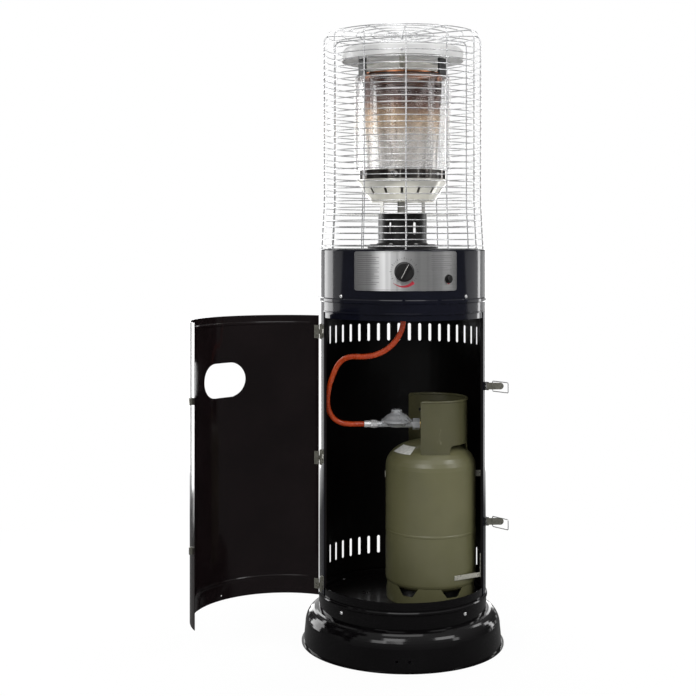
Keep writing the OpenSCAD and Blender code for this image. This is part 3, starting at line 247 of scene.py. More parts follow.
class Look(Nodes):
    """Builds one material's nodes."""

    def __init__(self, name):
        self.material = bpy.data.materials.new(name)
        self.material.use_nodes = True
        super().__init__(self.material.node_tree)
        self.shader = self.tree.nodes["Principled BSDF"]
        self.place = self.add("ShaderNodeTexCoord").outputs["Object"]

    def stretched(self, scale, vector=None):
        mapping = self.add("ShaderNodeMapping")
        mapping.inputs["Scale"].default_value = scale
        self.link(vector or self.place, mapping.inputs["Vector"])
        return mapping.outputs["Vector"]

    def turned(self, scale):
        """Distance from the middle and height, for the rings that spinning leaves in sheet metal."""
        parts = self.parts(self.place)
        flat = self.add("ShaderNodeCombineXYZ")
        self.link(parts["X"], flat.inputs["X"])
        self.link(parts["Y"], flat.inputs["Y"])
        made = self.add("ShaderNodeCombineXYZ")
        self.link(self.length(flat.outputs["Vector"]), made.inputs["X"])
        self.link(parts["Z"], made.inputs["Z"])
        return self.stretched((scale, 1, scale), made.outputs["Vector"])

    def noise(self, scale, detail=4.0, vector=None, rough=0.55):
        node = self.add("ShaderNodeTexNoise")
        node.inputs["Scale"].default_value = scale
        node.inputs["Detail"].default_value = detail
        node.inputs["Roughness"].default_value = rough
        self.link(vector or self.place, node.inputs["Vector"])
        return node.outputs["Fac"]

    def ramp(self, source, *stops):
        node = self.add("ShaderNodeValToRGB")
        band = node.color_ramp
        while len(band.elements) < len(stops):
            band.elements.new(0.5)
        for element, (position, colour) in zip(band.elements, stops):
            element.position = position
            element.color = colour
        self.link(source, node.inputs["Fac"])
        return node.outputs["Color"]

    def inward(self):
        """1 on faces that look towards the heater's middle, 0 on all others."""
        coords = self.add("ShaderNodeTexCoord")
        out = self.add("ShaderNodeVectorMath", operation="MULTIPLY")
        out.inputs[1].default_value = (1, 1, 0)
        self.link(coords.outputs["Object"], out.inputs[0])
        facing = self.add("ShaderNodeVectorMath", operation="DOT_PRODUCT")
        self.link(out.outputs["Vector"], facing.inputs[0])
        self.link(coords.outputs["Normal"], facing.inputs[1])
        return self.combined("LESS_THAN", facing.outputs["Value"], INWARD_LIMIT)

    def mix(self, kind, factor, first, second):
        node = self.add("ShaderNodeMix", data_type=kind)
        self.feed(factor, node.inputs["Factor"])
        self.feed(first, node.inputs["A"])
        self.feed(second, node.inputs["B"])
        return node.outputs["Result"]

    def either(self, factor, first, second):
        """The first value where the factor is 0 and the second where it is 1."""
        return self.mix("FLOAT", factor, first, second)

    def blend(self, factor, first, second):
        """The first colour where the factor is 0 and the second where it is 1."""
        return self.mix("RGBA", factor, first, second)

    def colour(self, source):
        self.link(source, self.shader.inputs["Base Color"])

    def gloss(self, source):
        self.link(source, self.shader.inputs["Roughness"])

    def relief(self, source, depth, strength=1.0):
        node = self.add("ShaderNodeBump")
        node.inputs["Strength"].default_value = strength
        node.inputs["Distance"].default_value = depth
        self.link(source, node.inputs["Height"])
        self.link(node.outputs["Normal"], self.shader.inputs["Normal"])

    def fixed(self, **values):
        for key, value in values.items():
            self.shader.inputs[key.replace("_", " ")].default_value = value


INSIDE_GLOSS = 0.4


def enamel(name, dark, light, gloss_low, gloss_high, inside=None):
    """Gloss enamel on sheet steel: faint clouding, orange peel and rubbed patches; where a tone is given,
    faces that look towards the middle are matt and take that tone as painted shade.
    """
    look = Look(name)
    tone = look.ramp(look.noise(9), (0.35, dark), (0.7, light))
    gloss = look.spread(look.noise(30, 6), gloss_low, gloss_high)
    # Faces that look towards the middle: a painted shade tone and a matt gloss
    if inside:
        within = look.inward()
        tone = look.blend(within, tone, inside)
        gloss = look.either(within, gloss, INSIDE_GLOSS)
    look.colour(tone)
    look.gloss(gloss)
    look.relief(look.noise(420, 2), 0.00002, 0.5)
    look.fixed(Coat_Weight=0.08, Coat_Roughness=0.03, Specular_IOR_Level=0.26)
    return look.material


def bare_metal(name, dark, light, gloss_low, gloss_high, grain, depth=0.00002, metal=1.0):
    """Bare or plated metal with a fine grain; a lower metal share is a duller surface."""
    look = Look(name)
    look.colour(look.ramp(look.noise(grain, 5), (0.3, dark), (0.7, light)))
    look.gloss(look.spread(look.noise(grain * 0.4, 4), gloss_low, gloss_high))
    look.relief(look.noise(grain * 1.6, 3), depth, 0.6)
    look.fixed(Metallic=metal)
    return look.material


def spun_metal(name, dark, light, gloss_low, gloss_high, metal, inside=None):
    """Sheet that was spun or pressed round: fine rings, with faint stains; where a tone is given, faces that
    look towards the middle take it as painted light.
    """
    look = Look(name)
    rings = look.noise(260, 3, look.turned(3.0))
    stains = look.noise(14, 5)
    tone = look.ramp(stains, (0.3, dark), (0.7, light))
    # Faces that look towards the middle: a painted tone that stands in for light
    if inside:
        tone = look.blend(look.inward(), tone, inside)
    look.colour(tone)
    look.gloss(look.spread(rings, gloss_low, gloss_high))
    look.relief(rings, 0.00003, 0.5)
    look.fixed(Metallic=metal)
    return look.material


# Half of the width over which the panel's painted highlight and its duller upright stretches run
PAINTED_SHEEN_HALF = 0.11


def brushed_round(name):
    """Stainless sheet brushed round the drum, so that its highlights stand upright; its colour also holds a
    painted highlight, a bright upright band left of the middle with duller sides, and darker upright streaks
    of painted reflection.
    """
    look = Look(name)
    grain = look.noise(16, 5, look.stretched((1, 1, 60)))
    parts = look.parts(look.place)
    across = look.spread(parts["X"], 0, 1, -PAINTED_SHEEN_HALF, PAINTED_SHEEN_HALF)
    # Painted highlight: a bright upright band left of the middle and duller sides, in place of reflections
    painted_sheen = look.ramp(across, (0.0, grey(140)), (0.16, grey(168)), (0.34, grey(240)), (0.5, grey(186)),
                      (0.7, grey(160)), (1.0, grey(128)))
    # Darker upright streaks, painted reflections
    streaks = look.spread(look.noise(30, 3, look.stretched((1, 1, 0.01)), 0.4), 0, 0.6, 0.5, 0.62)
    painted_sheen_tone = look.blend(streaks, painted_sheen, srgb(116, 116, 117))
    look.colour(look.blend(look.spread(grain, 0, 0.12), painted_sheen_tone, grey(226)))
    look.gloss(look.spread(grain, 0.32, 0.38))
    round_way = look.add("ShaderNodeCombineXYZ")
    look.link(look.combined("MULTIPLY", parts["Y"], -1), round_way.inputs["X"])
    look.link(parts["X"], round_way.inputs["Y"])
    look.link(round_way.outputs["Vector"], look.shader.inputs["Tangent"])
    look.fixed(Metallic=0.85, Anisotropic=0.8, Anisotropic_Rotation=0.25)
    return look.material


def mirror_band(name):
    """Polished band with painted reflections in its colour: upright bands from bright to nearly black."""
    look = Look(name)
    # Upright bands of painted reflection
    painted_reflections = look.noise(34, 3, look.stretched((1, 1, 0.02)), 0.4)
    look.colour(look.ramp(painted_reflections, (0.36, srgb(64, 60, 58)), (0.46, srgb(96, 92, 88)),
                          (0.52, srgb(222, 219, 214)), (0.58, srgb(110, 106, 102)), (0.7, srgb(70, 66, 64))))
    look.gloss(look.spread(look.noise(90, 4), 0.06, 0.14))
    look.relief(look.noise(260, 3), 0.00001, 0.4)
    look.fixed(Metallic=1.0)
    return look.material


def moulded(name, dark, light, rough, grain=900):
    """Moulded plastic with a fine spark-eroded grain."""
    look = Look(name)
    look.colour(look.ramp(look.noise(60, 4), (0.35, dark), (0.65, light)))
    look.gloss(look.spread(look.noise(140, 4), rough - 0.06, rough + 0.08))
    look.relief(look.noise(grain, 2), 0.00003, 0.5)
    return look.material


def bottle_paint(name, dark, light):
    """Semi-gloss olive paint: soft clouding, hairline scuffs and small chips."""
    look = Look(name)
    clouds = look.ramp(look.noise(7, 5), (0.3, dark), (0.7, light))
    scuffs = look.noise(55, 8, look.stretched((1, 1, 0.35)), 0.7)
    worn = look.spread(scuffs, 0, 0.55, 0.66, 0.74)
    chips = look.spread(look.noise(180, 6, rough=0.75), 0, 0.8, 0.73, 0.76)
    scuffed = look.blend(worn, clouds, srgb(126, 124, 102))
    look.colour(look.blend(chips, scuffed, srgb(60, 57, 44)))
    look.gloss(look.spread(look.noise(26, 6), 0.3, 0.46))
    look.relief(look.noise(120, 3), 0.00012, 0.35)
    look.fixed(Specular_IOR_Level=0.5, Coat_Weight=0.12, Coat_Roughness=0.12)
    return look.material


def hose_rubber(name):
    """Glossy orange-red gas hose with a faint grain."""
    look = Look(name)
    look.colour(look.ramp(look.noise(38, 5), (0.3, srgb(150, 48, 14)), (0.7, srgb(174, 64, 22))))
    look.gloss(look.spread(look.noise(90, 4), 0.2, 0.34))
    look.relief(look.noise(500, 2), 0.00003, 0.4)
    look.fixed(Specular_IOR_Level=0.5, Coat_Weight=0.4, Coat_Roughness=0.08)
    return look.material


def heated_steel(name, low_z, high_z):
    """Perforated stainless steel, clean at the foot and heat-tinted bronze towards the top."""
    look = Look(name)
    wander = look.spread(look.noise(10, 5), -0.014, 0.014)
    up = look.combined("ADD", look.parts(look.place)["Z"], wander)
    share = look.spread(up, 0, 1, low_z, high_z)
    tint = look.ramp(share, (0.0, srgb(236, 235, 234)), (0.36, srgb(222, 214, 206)),
                     (0.54, srgb(214, 186, 154)), (0.7, srgb(126, 98, 86)),
                     (0.82, srgb(80, 63, 61)), (0.93, srgb(72, 54, 47)), (0.955, srgb(176, 118, 84)))
    streaks = look.spread(look.noise(60, 4, look.stretched((1, 1, 0.04))), 0, 0.55, 0.5, 0.68)
    look.colour(look.blend(streaks, tint, srgb(62, 52, 50)))
    look.gloss(look.spread(look.noise(40, 4), 0.24, 0.3))
    look.relief(look.noise(300, 2), 0.00001, 0.3)
    look.fixed(Metallic=0.95)
    return look.material


def clear_glass(name):
    """Heat-proof glass tube with faint smears."""
    look = Look(name)
    look.colour(look.ramp(look.noise(12, 4), (0.3, srgb(246, 249, 250)), (0.7, srgb(255, 255, 255))))
    look.gloss(look.spread(look.noise(18, 6, look.stretched((1, 1, 0.4))), 0.0, 0.008, 0.45, 0.8))
    look.fixed(Transmission_Weight=1.0, IOR=1.47, Alpha=0.25)
    return look.material


def paper(name):
    look = Look(name)
    look.colour(look.ramp(look.noise(160, 5), (0.3, srgb(176, 177, 172)), (0.7, srgb(206, 206, 200))))
    look.gloss(look.spread(look.noise(70, 4), 0.5, 0.7))
    look.relief(look.noise(900, 3), 0.00004, 0.5)
    return look.material


def printed(name, first, second):
    """Printing ink on the panel."""
    look = Look(name)
    look.colour(look.ramp(look.noise(300, 4), (0.3, first), (0.7, second)))
    look.gloss(look.spread(look.noise(200, 4), 0.35, 0.5))
    return look.material


# Painted shade: the dark warm tone on the faces of the cabinet and the base that look towards the middle
INSIDE_SHADE = srgb(7, 5, 5)
LOOKS = {
    "black_enamel": enamel("black_enamel", srgb(10, 11, 19), srgb(15, 16, 26), 0.07, 0.14, INSIDE_SHADE),
    "base_enamel": enamel("base_enamel", srgb(4, 3, 4), srgb(8, 7, 8), 0.07, 0.14, INSIDE_SHADE),
    "door_enamel": enamel("door_enamel", srgb(14, 9, 10), srgb(20, 14, 15), 0.1, 0.18),
    # Darker warm copy of the black enamel for the jambs and the cabinet floor: painted shade, with a rougher
    # gloss
    "shaded_inner_enamel": enamel("shaded_inner_enamel", srgb(8, 6, 6), srgb(14, 11, 11), 0.25, 0.4),
    "deck_enamel": enamel("deck_enamel", srgb(10, 10, 11), srgb(16, 16, 18), 0.1, 0.2),
    "satin_black": moulded("satin_black", srgb(20, 20, 21), srgb(34, 33, 33), 0.42),
    "burner_black": moulded("burner_black", srgb(12, 11, 12), srgb(22, 20, 21), 0.3, 500),
    "panel_steel": brushed_round("panel_steel"),
    "wire_chrome": bare_metal("wire_chrome", srgb(204, 205, 207), srgb(228, 228, 229), 0.2, 0.3, 120,
                              metal=0.85),
    "plated": bare_metal("plated", srgb(116, 115, 106), srgb(148, 147, 137), 0.26, 0.4, 120, metal=0.7),
    "bright_plated": bare_metal("bright_plated", srgb(190, 188, 176), srgb(216, 214, 202), 0.24, 0.36, 260,
                                metal=0.6),
    "screw_steel": bare_metal("screw_steel", srgb(210, 210, 210), srgb(236, 236, 236), 0.2, 0.3, 300,
                              metal=0.6),
    "polished": mirror_band("polished"),
    "bowl_steel": spun_metal("bowl_steel", srgb(222, 220, 212), srgb(238, 237, 230), 0.16, 0.28, 0.55),
    # Reflector: its inner wall painted near white, a painted light
    "reflector_steel": spun_metal("reflector_steel", srgb(204, 204, 204), srgb(216, 216, 215), 0.3, 0.42,
                                  0.15, inside=srgb(252, 252, 252)),
    "dish_steel": spun_metal("dish_steel", srgb(232, 230, 218), srgb(246, 245, 236), 0.24, 0.36, 0.3),
    "burner_iron": bare_metal("burner_iron", srgb(46, 45, 46), srgb(72, 71, 72), 0.4, 0.55, 400, 0.00006),
    "bracket_steel": bare_metal("bracket_steel", srgb(150, 149, 146), srgb(190, 189, 186), 0.28, 0.42, 200),
    "cast_alloy": bare_metal("cast_alloy", srgb(186, 188, 190), srgb(208, 210, 212), 0.22, 0.3, 60,
                             0.00001, metal=0.6),
    "brass": bare_metal("brass", srgb(176, 148, 90), srgb(210, 182, 118), 0.24, 0.38, 240, metal=0.8),
    "bottle_paint": bottle_paint("bottle_paint", srgb(88, 87, 60), srgb(100, 98, 70)),
    "collar_paint": bottle_paint("collar_paint", srgb(70, 69, 46), srgb(82, 80, 56)),
    "hose_rubber": hose_rubber("hose_rubber"),
    "glass": clear_glass("glass"),
    "knob_plastic": moulded("knob_plastic", srgb(12, 11, 12), srgb(22, 20, 20), 0.4),
    "white_plastic": moulded("white_plastic", srgb(206, 205, 198), srgb(222, 221, 215), 0.4),
    "paper": paper("paper"),
    "ink_dark": printed("ink_dark", srgb(92, 90, 92), srgb(112, 110, 112)),
    "ink_red": printed("ink_red", srgb(158, 26, 44), srgb(176, 36, 54)),
    "ink_white": printed("ink_white", srgb(176, 174, 170), srgb(196, 194, 190)),
}
NODE_LOOKS = {
    "black_enamel": ["body_shell", "upper_collar", "control_housing"],
    "shaded_inner_enamel": ["jamb_left", "jamb_right", "cabinet_floor"],
    "base_enamel": ["base_shell", "lower_collar"],
    "deck_enamel": ["deck_plate"],
    "door_enamel": ["door_panel"],
    "satin_black": ["latch_brackets", "valve_handwheel"],
    "burner_black": ["burner_chamber", "reflector_posts"],
    "panel_steel": ["control_panel"],
    "wire_chrome": ["guard_front", "guard_right", "guard_back", "guard_left", "guard_top",
                    "latch_loop_upper", "latch_loop_lower"],
    "plated": ["hinge_leaves_body", "hinge_pins", "hinge_leaves_door", "door_catches",
               "latch_lever_upper", "latch_lever_lower"],
    "bright_plated": ["bottle_strap", "bottle_rear_band"],
    "screw_steel": ["body_screws", "burner_screws", "hose_fittings"],
    "polished": ["emitter_band"],
    "bowl_steel": ["slotted_bowl", "bowl_floor", "baffle_disc"],
    "reflector_steel": ["top_reflector"],
    "dish_steel": ["inner_dish"],
    "burner_iron": ["burner_base"],
    "bracket_steel": ["valve_bracket", "bowl_brackets", "pilot_assembly", "supply_pipe"],
    "cast_alloy": ["regulator_body", "regulator_cover"],
    "brass": ["stem_collar", "gas_control_valve", "bottle_valve"],
    "bottle_paint": ["bottle_shell", "bottle_foot_ring"],
    "collar_paint": ["bottle_collar"],
    "hose_rubber": ["gas_hose"],
    "glass": ["glass_tube"],
    "knob_plastic": ["control_knob", "igniter_button", "piezo_igniter"],
    "white_plastic": ["tilt_switch"],
    "paper": ["bottle_tag"],
}
emitter_low, emitter_high = height("emitter_screen")
LOOKS["heated_steel"] = heated_steel("heated_steel", emitter_low, emitter_high)
NODE_LOOKS["heated_steel"] = ["emitter_screen"]


def dress_nodes():
    for look, names in NODE_LOOKS.items():
        for name in names:
            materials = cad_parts[name].data.materials
            materials.clear()
            materials.append(LOOKS[look])


dress_nodes()


# Gas hose: the CAD route's points in millimetres, on one smooth curve
HOSE_ROUTE = [(-4.4, -140, 752), (-4.4, -140, 728), (-9, -139, 708), (-20, -136, 688), (-39, -130, 669),
              (-64, -121, 656), (-90, -110, 651), (-113, -98, 650), (-133, -85, 643), (-147, -73, 627),
              (-157, -60, 604), (-165, -47, 578), (-169, -35, 551), (-167, -24, 525), (-157, -14, 504),
              (-140, -6, 492), (-118, -1, 488), (-98, 0, 488), (-86, 0, 488)]
HOSE_DIAMETER = 12 * MM
HOSE_STEPS = 5
HOSE_SIDES = 24


def smooth_route(points, steps):
    """Points on a Catmull-Rom curve through the given ones."""
    ends = [points[0] * 2 - points[1], *points, points[-1] * 2 - points[-2]]
    made = []
    for i in range(1, len(ends) - 2):
        p0, p1, p2, p3 = ends[i - 1:i + 3]
        for k in range(steps):
            t = k / steps
            made.append(0.5 * (2 * p1 + (p2 - p0) * t + (2 * p0 - 5 * p1 + 4 * p2 - p3) * t ** 2
                               + (3 * p1 - p0 - 3 * p2 + p3) * t ** 3))
    return [*made, points[-1]]


def make_hose():
    route = smooth_route([Vector(p) * MM for p in HOSE_ROUTE], HOSE_STEPS)
    solids = Solids()
    solids.tube(route, [HOSE_DIAMETER / 2] * len(route), HOSE_SIDES)
    hose = solids.piece("gas_hose_tube", LOOKS["hose_rubber"], "heater")
    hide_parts("gas_hose")


make_hose()


# Emitter screen: a cone of perforated sheet, rows of six-sided holes set off by half a pitch
HOLE_ROWS = 54
HOLES_ROUND = 108
HALVES_ROUND = 2 * HOLES_ROUND
# Radius of a hole as a share of the pitch
HOLE_SHARE = 0.27
HOLE_SIDES = 6
SCREEN_SHEET = 0.8 * MM
# How much the radius grows from the foot to the top
SCREEN_FLARE = 13 * MM
RIM_BAND = 6 * MM


class Screen:
    """The perforated cone. Each place on it has an outer vertex and, right after it, an inner one."""

    def __init__(self):
        low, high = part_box("emitter_screen")
        self.z0, self.z1 = low.z, high.z
        self.foot = self.z0 + RIM_BAND
        self.z_top = self.z1 - RIM_BAND
        self.pitch = (self.z_top - self.foot) / HOLE_ROWS
        self.top_r = high.x
        self.foot_r = self.top_r - SCREEN_FLARE
        self.verts = []
        self.faces = []

    def add_place(self, column, z):
        share = min((z - self.z0) / (self.z_top - self.z0), 1)
        outer = self.foot_r + (self.top_r - self.foot_r) * share
        turn = 2 * math.pi * column / HOLES_ROUND
        for radius in (outer, outer - SCREEN_SHEET):
            self.verts.append(Vector((radius * math.sin(turn), -radius * math.cos(turn), z)))

    def add_row(self, row):
        for half in range(HALVES_ROUND):
            self.add_place(half / 2, self.foot + row * self.pitch)

    def corner(self, row, half):
        """The outer vertex at the foot of a row, counted round in half pitches."""
        return (row * HALVES_ROUND + half % HALVES_ROUND) * 2

    def add_hole(self, row, first):
        """One hole with the sheet round it; first is the half pitch at which its cell starts."""
        rim = [self.corner(row + 1, first + 1), self.corner(row + 1, first + 2), self.corner(row, first + 2),
               self.corner(row, first + 1), self.corner(row, first), self.corner(row + 1, first)]
        start = len(self.verts)
        for k in range(HOLE_SIDES):
            turn = math.radians(90 - 360 / HOLE_SIDES * k)
            column = (first + 1) / 2 + HOLE_SHARE * math.cos(turn)
            self.add_place(column, self.foot + (row + 0.5 + HOLE_SHARE * math.sin(turn)) * self.pitch)
        for k in range(HOLE_SIDES):
            n = (k + 1) % HOLE_SIDES
            a, b = start + 2 * k, start + 2 * n
            self.faces.append([rim[k], rim[n], b, a])
            self.faces.append([rim[n] + 1, rim[k] + 1, a + 1, b + 1])
            self.faces.append([a, b, b + 1, a + 1])

    def add_end(self, row, z):
        """The plain band from a row's foot to the end of the sheet at height z."""
        start = len(self.verts)
        for half in range(HALVES_ROUND):
            self.add_place(half / 2, z)
        for half in range(HALVES_ROUND):
            a, b = start + 2 * half, start + 2 * ((half + 1) % HALVES_ROUND)
            c, d = self.corner(row, half), self.corner(row, half + 1)
            self.faces += [[a, b, d, c], [a + 1, c + 1, d + 1, b + 1], [a, a + 1, b + 1, b]]


def make_emitter():
    cone = Screen()
    for row in range(HOLE_ROWS + 1):
        cone.add_row(row)
    for row in range(HOLE_ROWS):
        for column in range(HOLES_ROUND):
            cone.add_hole(row, 2 * column + row % 2)
    cone.add_end(0, cone.z0)
    cone.add_end(HOLE_ROWS, cone.z1)
    screen = add_mesh("perforated_screen", cone.verts, cone.faces, LOOKS["heated_steel"], "heater", False)
    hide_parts("emitter_screen")


make_emitter()


# Printing on the control panel: a frame line, plain rules, dial ticks, a tapered red arc and a red mark
INK = 0.08 * MM
PRINT_INSET = 2.5 * MM
PRINT_LINE = 0.5 * MM
FRAME_STEPS = 48
RULE_THICK = 0.9 * MM
RULE_STEPS = 8
RULE_PITCH = 4.4 * MM
RULE_DROP = 9 * MM
RULE_SHARES = [0.62, 0.9, 0.78, 0.9, 0.9, 0.55, 0.9, 0.84, 0.9, 0.7, 0.9, 0.9, 0.6, 0.9, 0.8]
RIGHT_SHARES = RULE_SHARES[3:11]
# Where rules start and end, from the frame line on their own side
LEFT_RULES = (5 * MM, 62 * MM)
RIGHT_RULES = (60 * MM, 6 * MM)
TICK_REACH = 130
TICK_STEP = 10
LONG_TICK_STEP = 30
TICK_R = 26.5 * MM
# Length and half of the width of a tick
LONG_TICK = (4.5 * MM, 0.55 * MM)
SHORT_TICK = (2.6 * MM, 0.35 * MM)
ARC_R = 33.5 * MM
ARC_SPAN = (226, 138)
ARC_STEPS = 40
ARC_THIN = 0.4 * MM
ARC_GROWTH = 7 * MM
# The red mark is two strips that rise from its middle to both sides and grow a little taller
SPARK_STEPS = 6
SPARK_DROP = 11.1 * MM
SPARK_HALF_W = 4 * MM
SPARK_RISE = 1.4 * MM
SPARK_TALL = 2.2 * MM
SPARK_GROWTH = 0.4 * MM
panel_low, panel_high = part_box("control_panel")
PANEL_R = -panel_low.y
PRINT_HALF_W = PANEL_R * math.asin(panel_high.x / PANEL_R) - PRINT_INSET
knob_mid = centre("control_knob")
button_mid = centre("igniter_button")
BUTTON_U = PANEL_R * math.atan2(button_mid.x, -button_mid.y)


def on_panel(u, v, w):
    """A place on the panel: u along its curve from the front, v up, w out."""
    a = u / PANEL_R
    return Vector(((PANEL_R + w) * math.sin(a), -(PANEL_R + w) * math.cos(a), v))


def round_dial(angle, radius, w):
    """A place on the panel round the knob: angle from straight up, clockwise."""
    a = math.radians(angle)
    return on_panel(knob_mid.x + radius * math.sin(a), knob_mid.z + radius * math.cos(a), w)


def print_frame(ink):
    low, high = panel_low.z + PRINT_INSET, panel_high.z - PRINT_INSET
    for z in (low, high - PRINT_LINE):
        ink.bar(on_panel, FRAME_STEPS, -PRINT_HALF_W, PRINT_HALF_W, z, z + PRINT_LINE, INK)
    for side in (-1, 1):
        edge = side * PRINT_HALF_W
        ink.bar(on_panel, 2, edge - PRINT_LINE / 2, edge + PRINT_LINE / 2,
                low + PRINT_LINE, high - PRINT_LINE, INK)


def print_rules(ink, u0, u1, shares):
    """Plain thin rules in place of text, each over its share of the width from u0 to u1."""
    for i, share in enumerate(shares):
        z = panel_high.z - RULE_DROP - i * RULE_PITCH
        ink.bar(on_panel, RULE_STEPS, u0, u0 + (u1 - u0) * share, z, z + RULE_THICK, INK)


def print_ticks(ink):
    for angle in range(-TICK_REACH, TICK_REACH + 1, TICK_STEP):
        length, half = SHORT_TICK if angle % LONG_TICK_STEP else LONG_TICK
        ink.bar(lambda u, v, w, a=angle: round_dial(a + math.degrees(v / TICK_R), u, w),
                2, TICK_R, TICK_R + length, -half, half, INK)


def print_spark(ink):
    """The red mark under the igniter button."""
    for side in (-1, 1):
        ink.bar(lambda u, v, w: on_panel(BUTTON_U + u, button_mid.z - SPARK_DROP + v, w),
                SPARK_STEPS, 0, side * SPARK_HALF_W,
                lambda t: SPARK_RISE * t, lambda t: SPARK_TALL + SPARK_GROWTH * t, INK)


def make_panel_print():
    dark = Solids()
    print_frame(dark)
    print_rules(dark, -PRINT_HALF_W + LEFT_RULES[0], -PRINT_HALF_W + LEFT_RULES[1], RULE_SHARES)
    print_rules(dark, PRINT_HALF_W - RIGHT_RULES[0], PRINT_HALF_W - RIGHT_RULES[1], RIGHT_SHARES)
    print_ticks(dark)
    dark.piece("panel_print_dark", LOOKS["ink_dark"], "heater", False)
    red = Solids()
    red.bar(round_dial, ARC_STEPS, *ARC_SPAN,
            lambda t: ARC_R - ARC_THIN - ARC_GROWTH * t, lambda t: ARC_R, INK)
    print_spark(red)
    red.piece("panel_print_red", LOOKS["ink_red"], "heater", False)


make_panel_print()


# The white line along the knob's grip
KNOB_TURN = 28
KNOB_FACE_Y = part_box("control_knob")[0].y
POINTER_SPAN = (-15 * MM, 17 * MM)
POINTER_STEPS = 6
POINTER_HALF = 0.5 * MM
POINTER_THICK = 0.1 * MM


def make_knob_pointer():
    turn = math.radians(KNOB_TURN)
    along = Vector((math.sin(turn), 0, math.cos(turn)))
    across = Vector((math.cos(turn), 0, -math.sin(turn)))
    base = Vector((knob_mid.x, KNOB_FACE_Y, knob_mid.z))
    solids = Solids()
    solids.bar(lambda u, v, w: base + along * u + across * v + Vector((0, -w, 0)), POINTER_STEPS,
               *POINTER_SPAN, -POINTER_HALF, POINTER_HALF, POINTER_THICK)
    solids.piece("knob_pointer", LOOKS["ink_white"], "knob", False)


make_knob_pointer()


# Paper tag on the bottle's shoulder, blank, with its near edge lifting off
TAG_RADIUS = 75 * MM
TAG_ANGLE = -56
TAG_HALF = 20.8
TAG_LENGTH = 27.6 * MM
TAG_SLOPE = 31.6
TAG_THICK = 0.5 * MM
TAG_STEPS = 16
TAG_BOW = 0.25 * MM
TAG_LIFT = 0.3 * MM


def make_tag():
    slope = math.radians(TAG_SLOPE)
    drop = TAG_LENGTH * math.sin(slope)
    mid_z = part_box("bottle_tag")[0].z + drop / 2
    bottle_x = centre("bottle_shell").x
    steps = TAG_STEPS
    verts = []
    for layer in (0, TAG_THICK):
        for i in range(steps + 1):
            across = 2 * i / steps - 1
            out = polar(1, TAG_ANGLE + TAG_HALF * across, 0)
            for k in range(steps + 1):
                along = k / steps - 0.5
                lift = TAG_BOW * abs(along) + TAG_LIFT * max(across, 0) ** 2 * (0.5 + along)
                reach = TAG_RADIUS + along * TAG_LENGTH * math.cos(slope)
                up = mid_z - along * drop + layer + lift
                verts.append(Vector((bottle_x, 0, up)) + out * reach)
    row = steps + 1
    sheet = row * row
    faces = []
    for i in range(steps):
        for k in range(steps):
            a = i * row + k
            faces.append([a, a + 1, a + row + 1, a + row])
            faces.append([sheet + a, sheet + a + row, sheet + a + row + 1, sheet + a + 1])
    edge = ([i * row for i in range(steps)] + [steps * row + k for k in range(steps)]
            + [i * row + steps for i in range(steps, 0, -1)] + list(range(steps, 0, -1)))
    for a, b in zip(edge, edge[1:] + edge[:1]):
        faces.append([a, b, b + sheet, a + sheet])
    tag = add_mesh("paper_tag", verts, faces, LOOKS["paper"], "heater")
    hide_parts("bottle_tag")


make_tag()


# Weld beads where the bottle's collar stands on its shoulder
WELD_SEED = 7
WELD_R = 83.6 * MM
WELD_SPANS = ((-17, 24), (82, 108), (170, 212))
WELD_STEPS = 36
WELD_SIDES = 8
WELD_THICK = 1.1 * MM
WELD_RIPPLE = 0.35 * MM
RIPPLE_TURN = 2.1
WELD_UNEVEN = 0.15 * MM
WELD_END_STEPS = 3
WELD_END_SHARE = 0.4
# Rays dropped from this height find the shoulder that the beads lie on
DROP_FROM_Z = 1


def weld_radius(i):
    """Half of the bead's thickness at a step: rippled, uneven and thinner at both ends."""
    fade = min(i, WELD_STEPS - i, WELD_END_STEPS) / WELD_END_STEPS
    ripple = WELD_RIPPLE * math.sin(i * RIPPLE_TURN) + random.uniform(-WELD_UNEVEN, WELD_UNEVEN)
    return (WELD_THICK + ripple) * (WELD_END_SHARE + (1 - WELD_END_SHARE) * fade)


def make_collar_welds():
    random.seed(WELD_SEED)
    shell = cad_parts["bottle_shell"]
    bottle_x = centre("bottle_shell").x
    solids = Solids()
    for start, end in WELD_SPANS:
        points = []
        radii = []
        for i in range(WELD_STEPS + 1):
            place = polar(WELD_R, start + (end - start) * i / WELD_STEPS, 0)
            above = Vector((bottle_x + place.x, place.y, DROP_FROM_Z))
            hit, where, _, _ = shell.ray_cast(above, Vector((0, 0, -1)))
            if hit:
                points.append(where)
                radii.append(weld_radius(i))
        solids.tube(points, radii, WELD_SIDES)
    solids.piece("collar_welds", LOOKS["bottle_paint"], "heater")


make_collar_welds()


# Studio: white floor and surroundings, soft lamps. The soft level lights matt surfaces, and the others
# are what shiny ones mirror: in front, at the side and back, and added overhead.
SOFT_LEVEL = 0.62
FRONT_LEVEL = 0.24
SIDE_LEVEL = 0.08
UP_LEVEL = 0.35
# Where the mirrored levels change, by how far a ray points to the back or, in UP_BAND, up
REAR_BAND = (0.9, 0.96)
AROUND_BAND = (-0.2, 0.35)
UP_BAND = (0.15, 0.9)


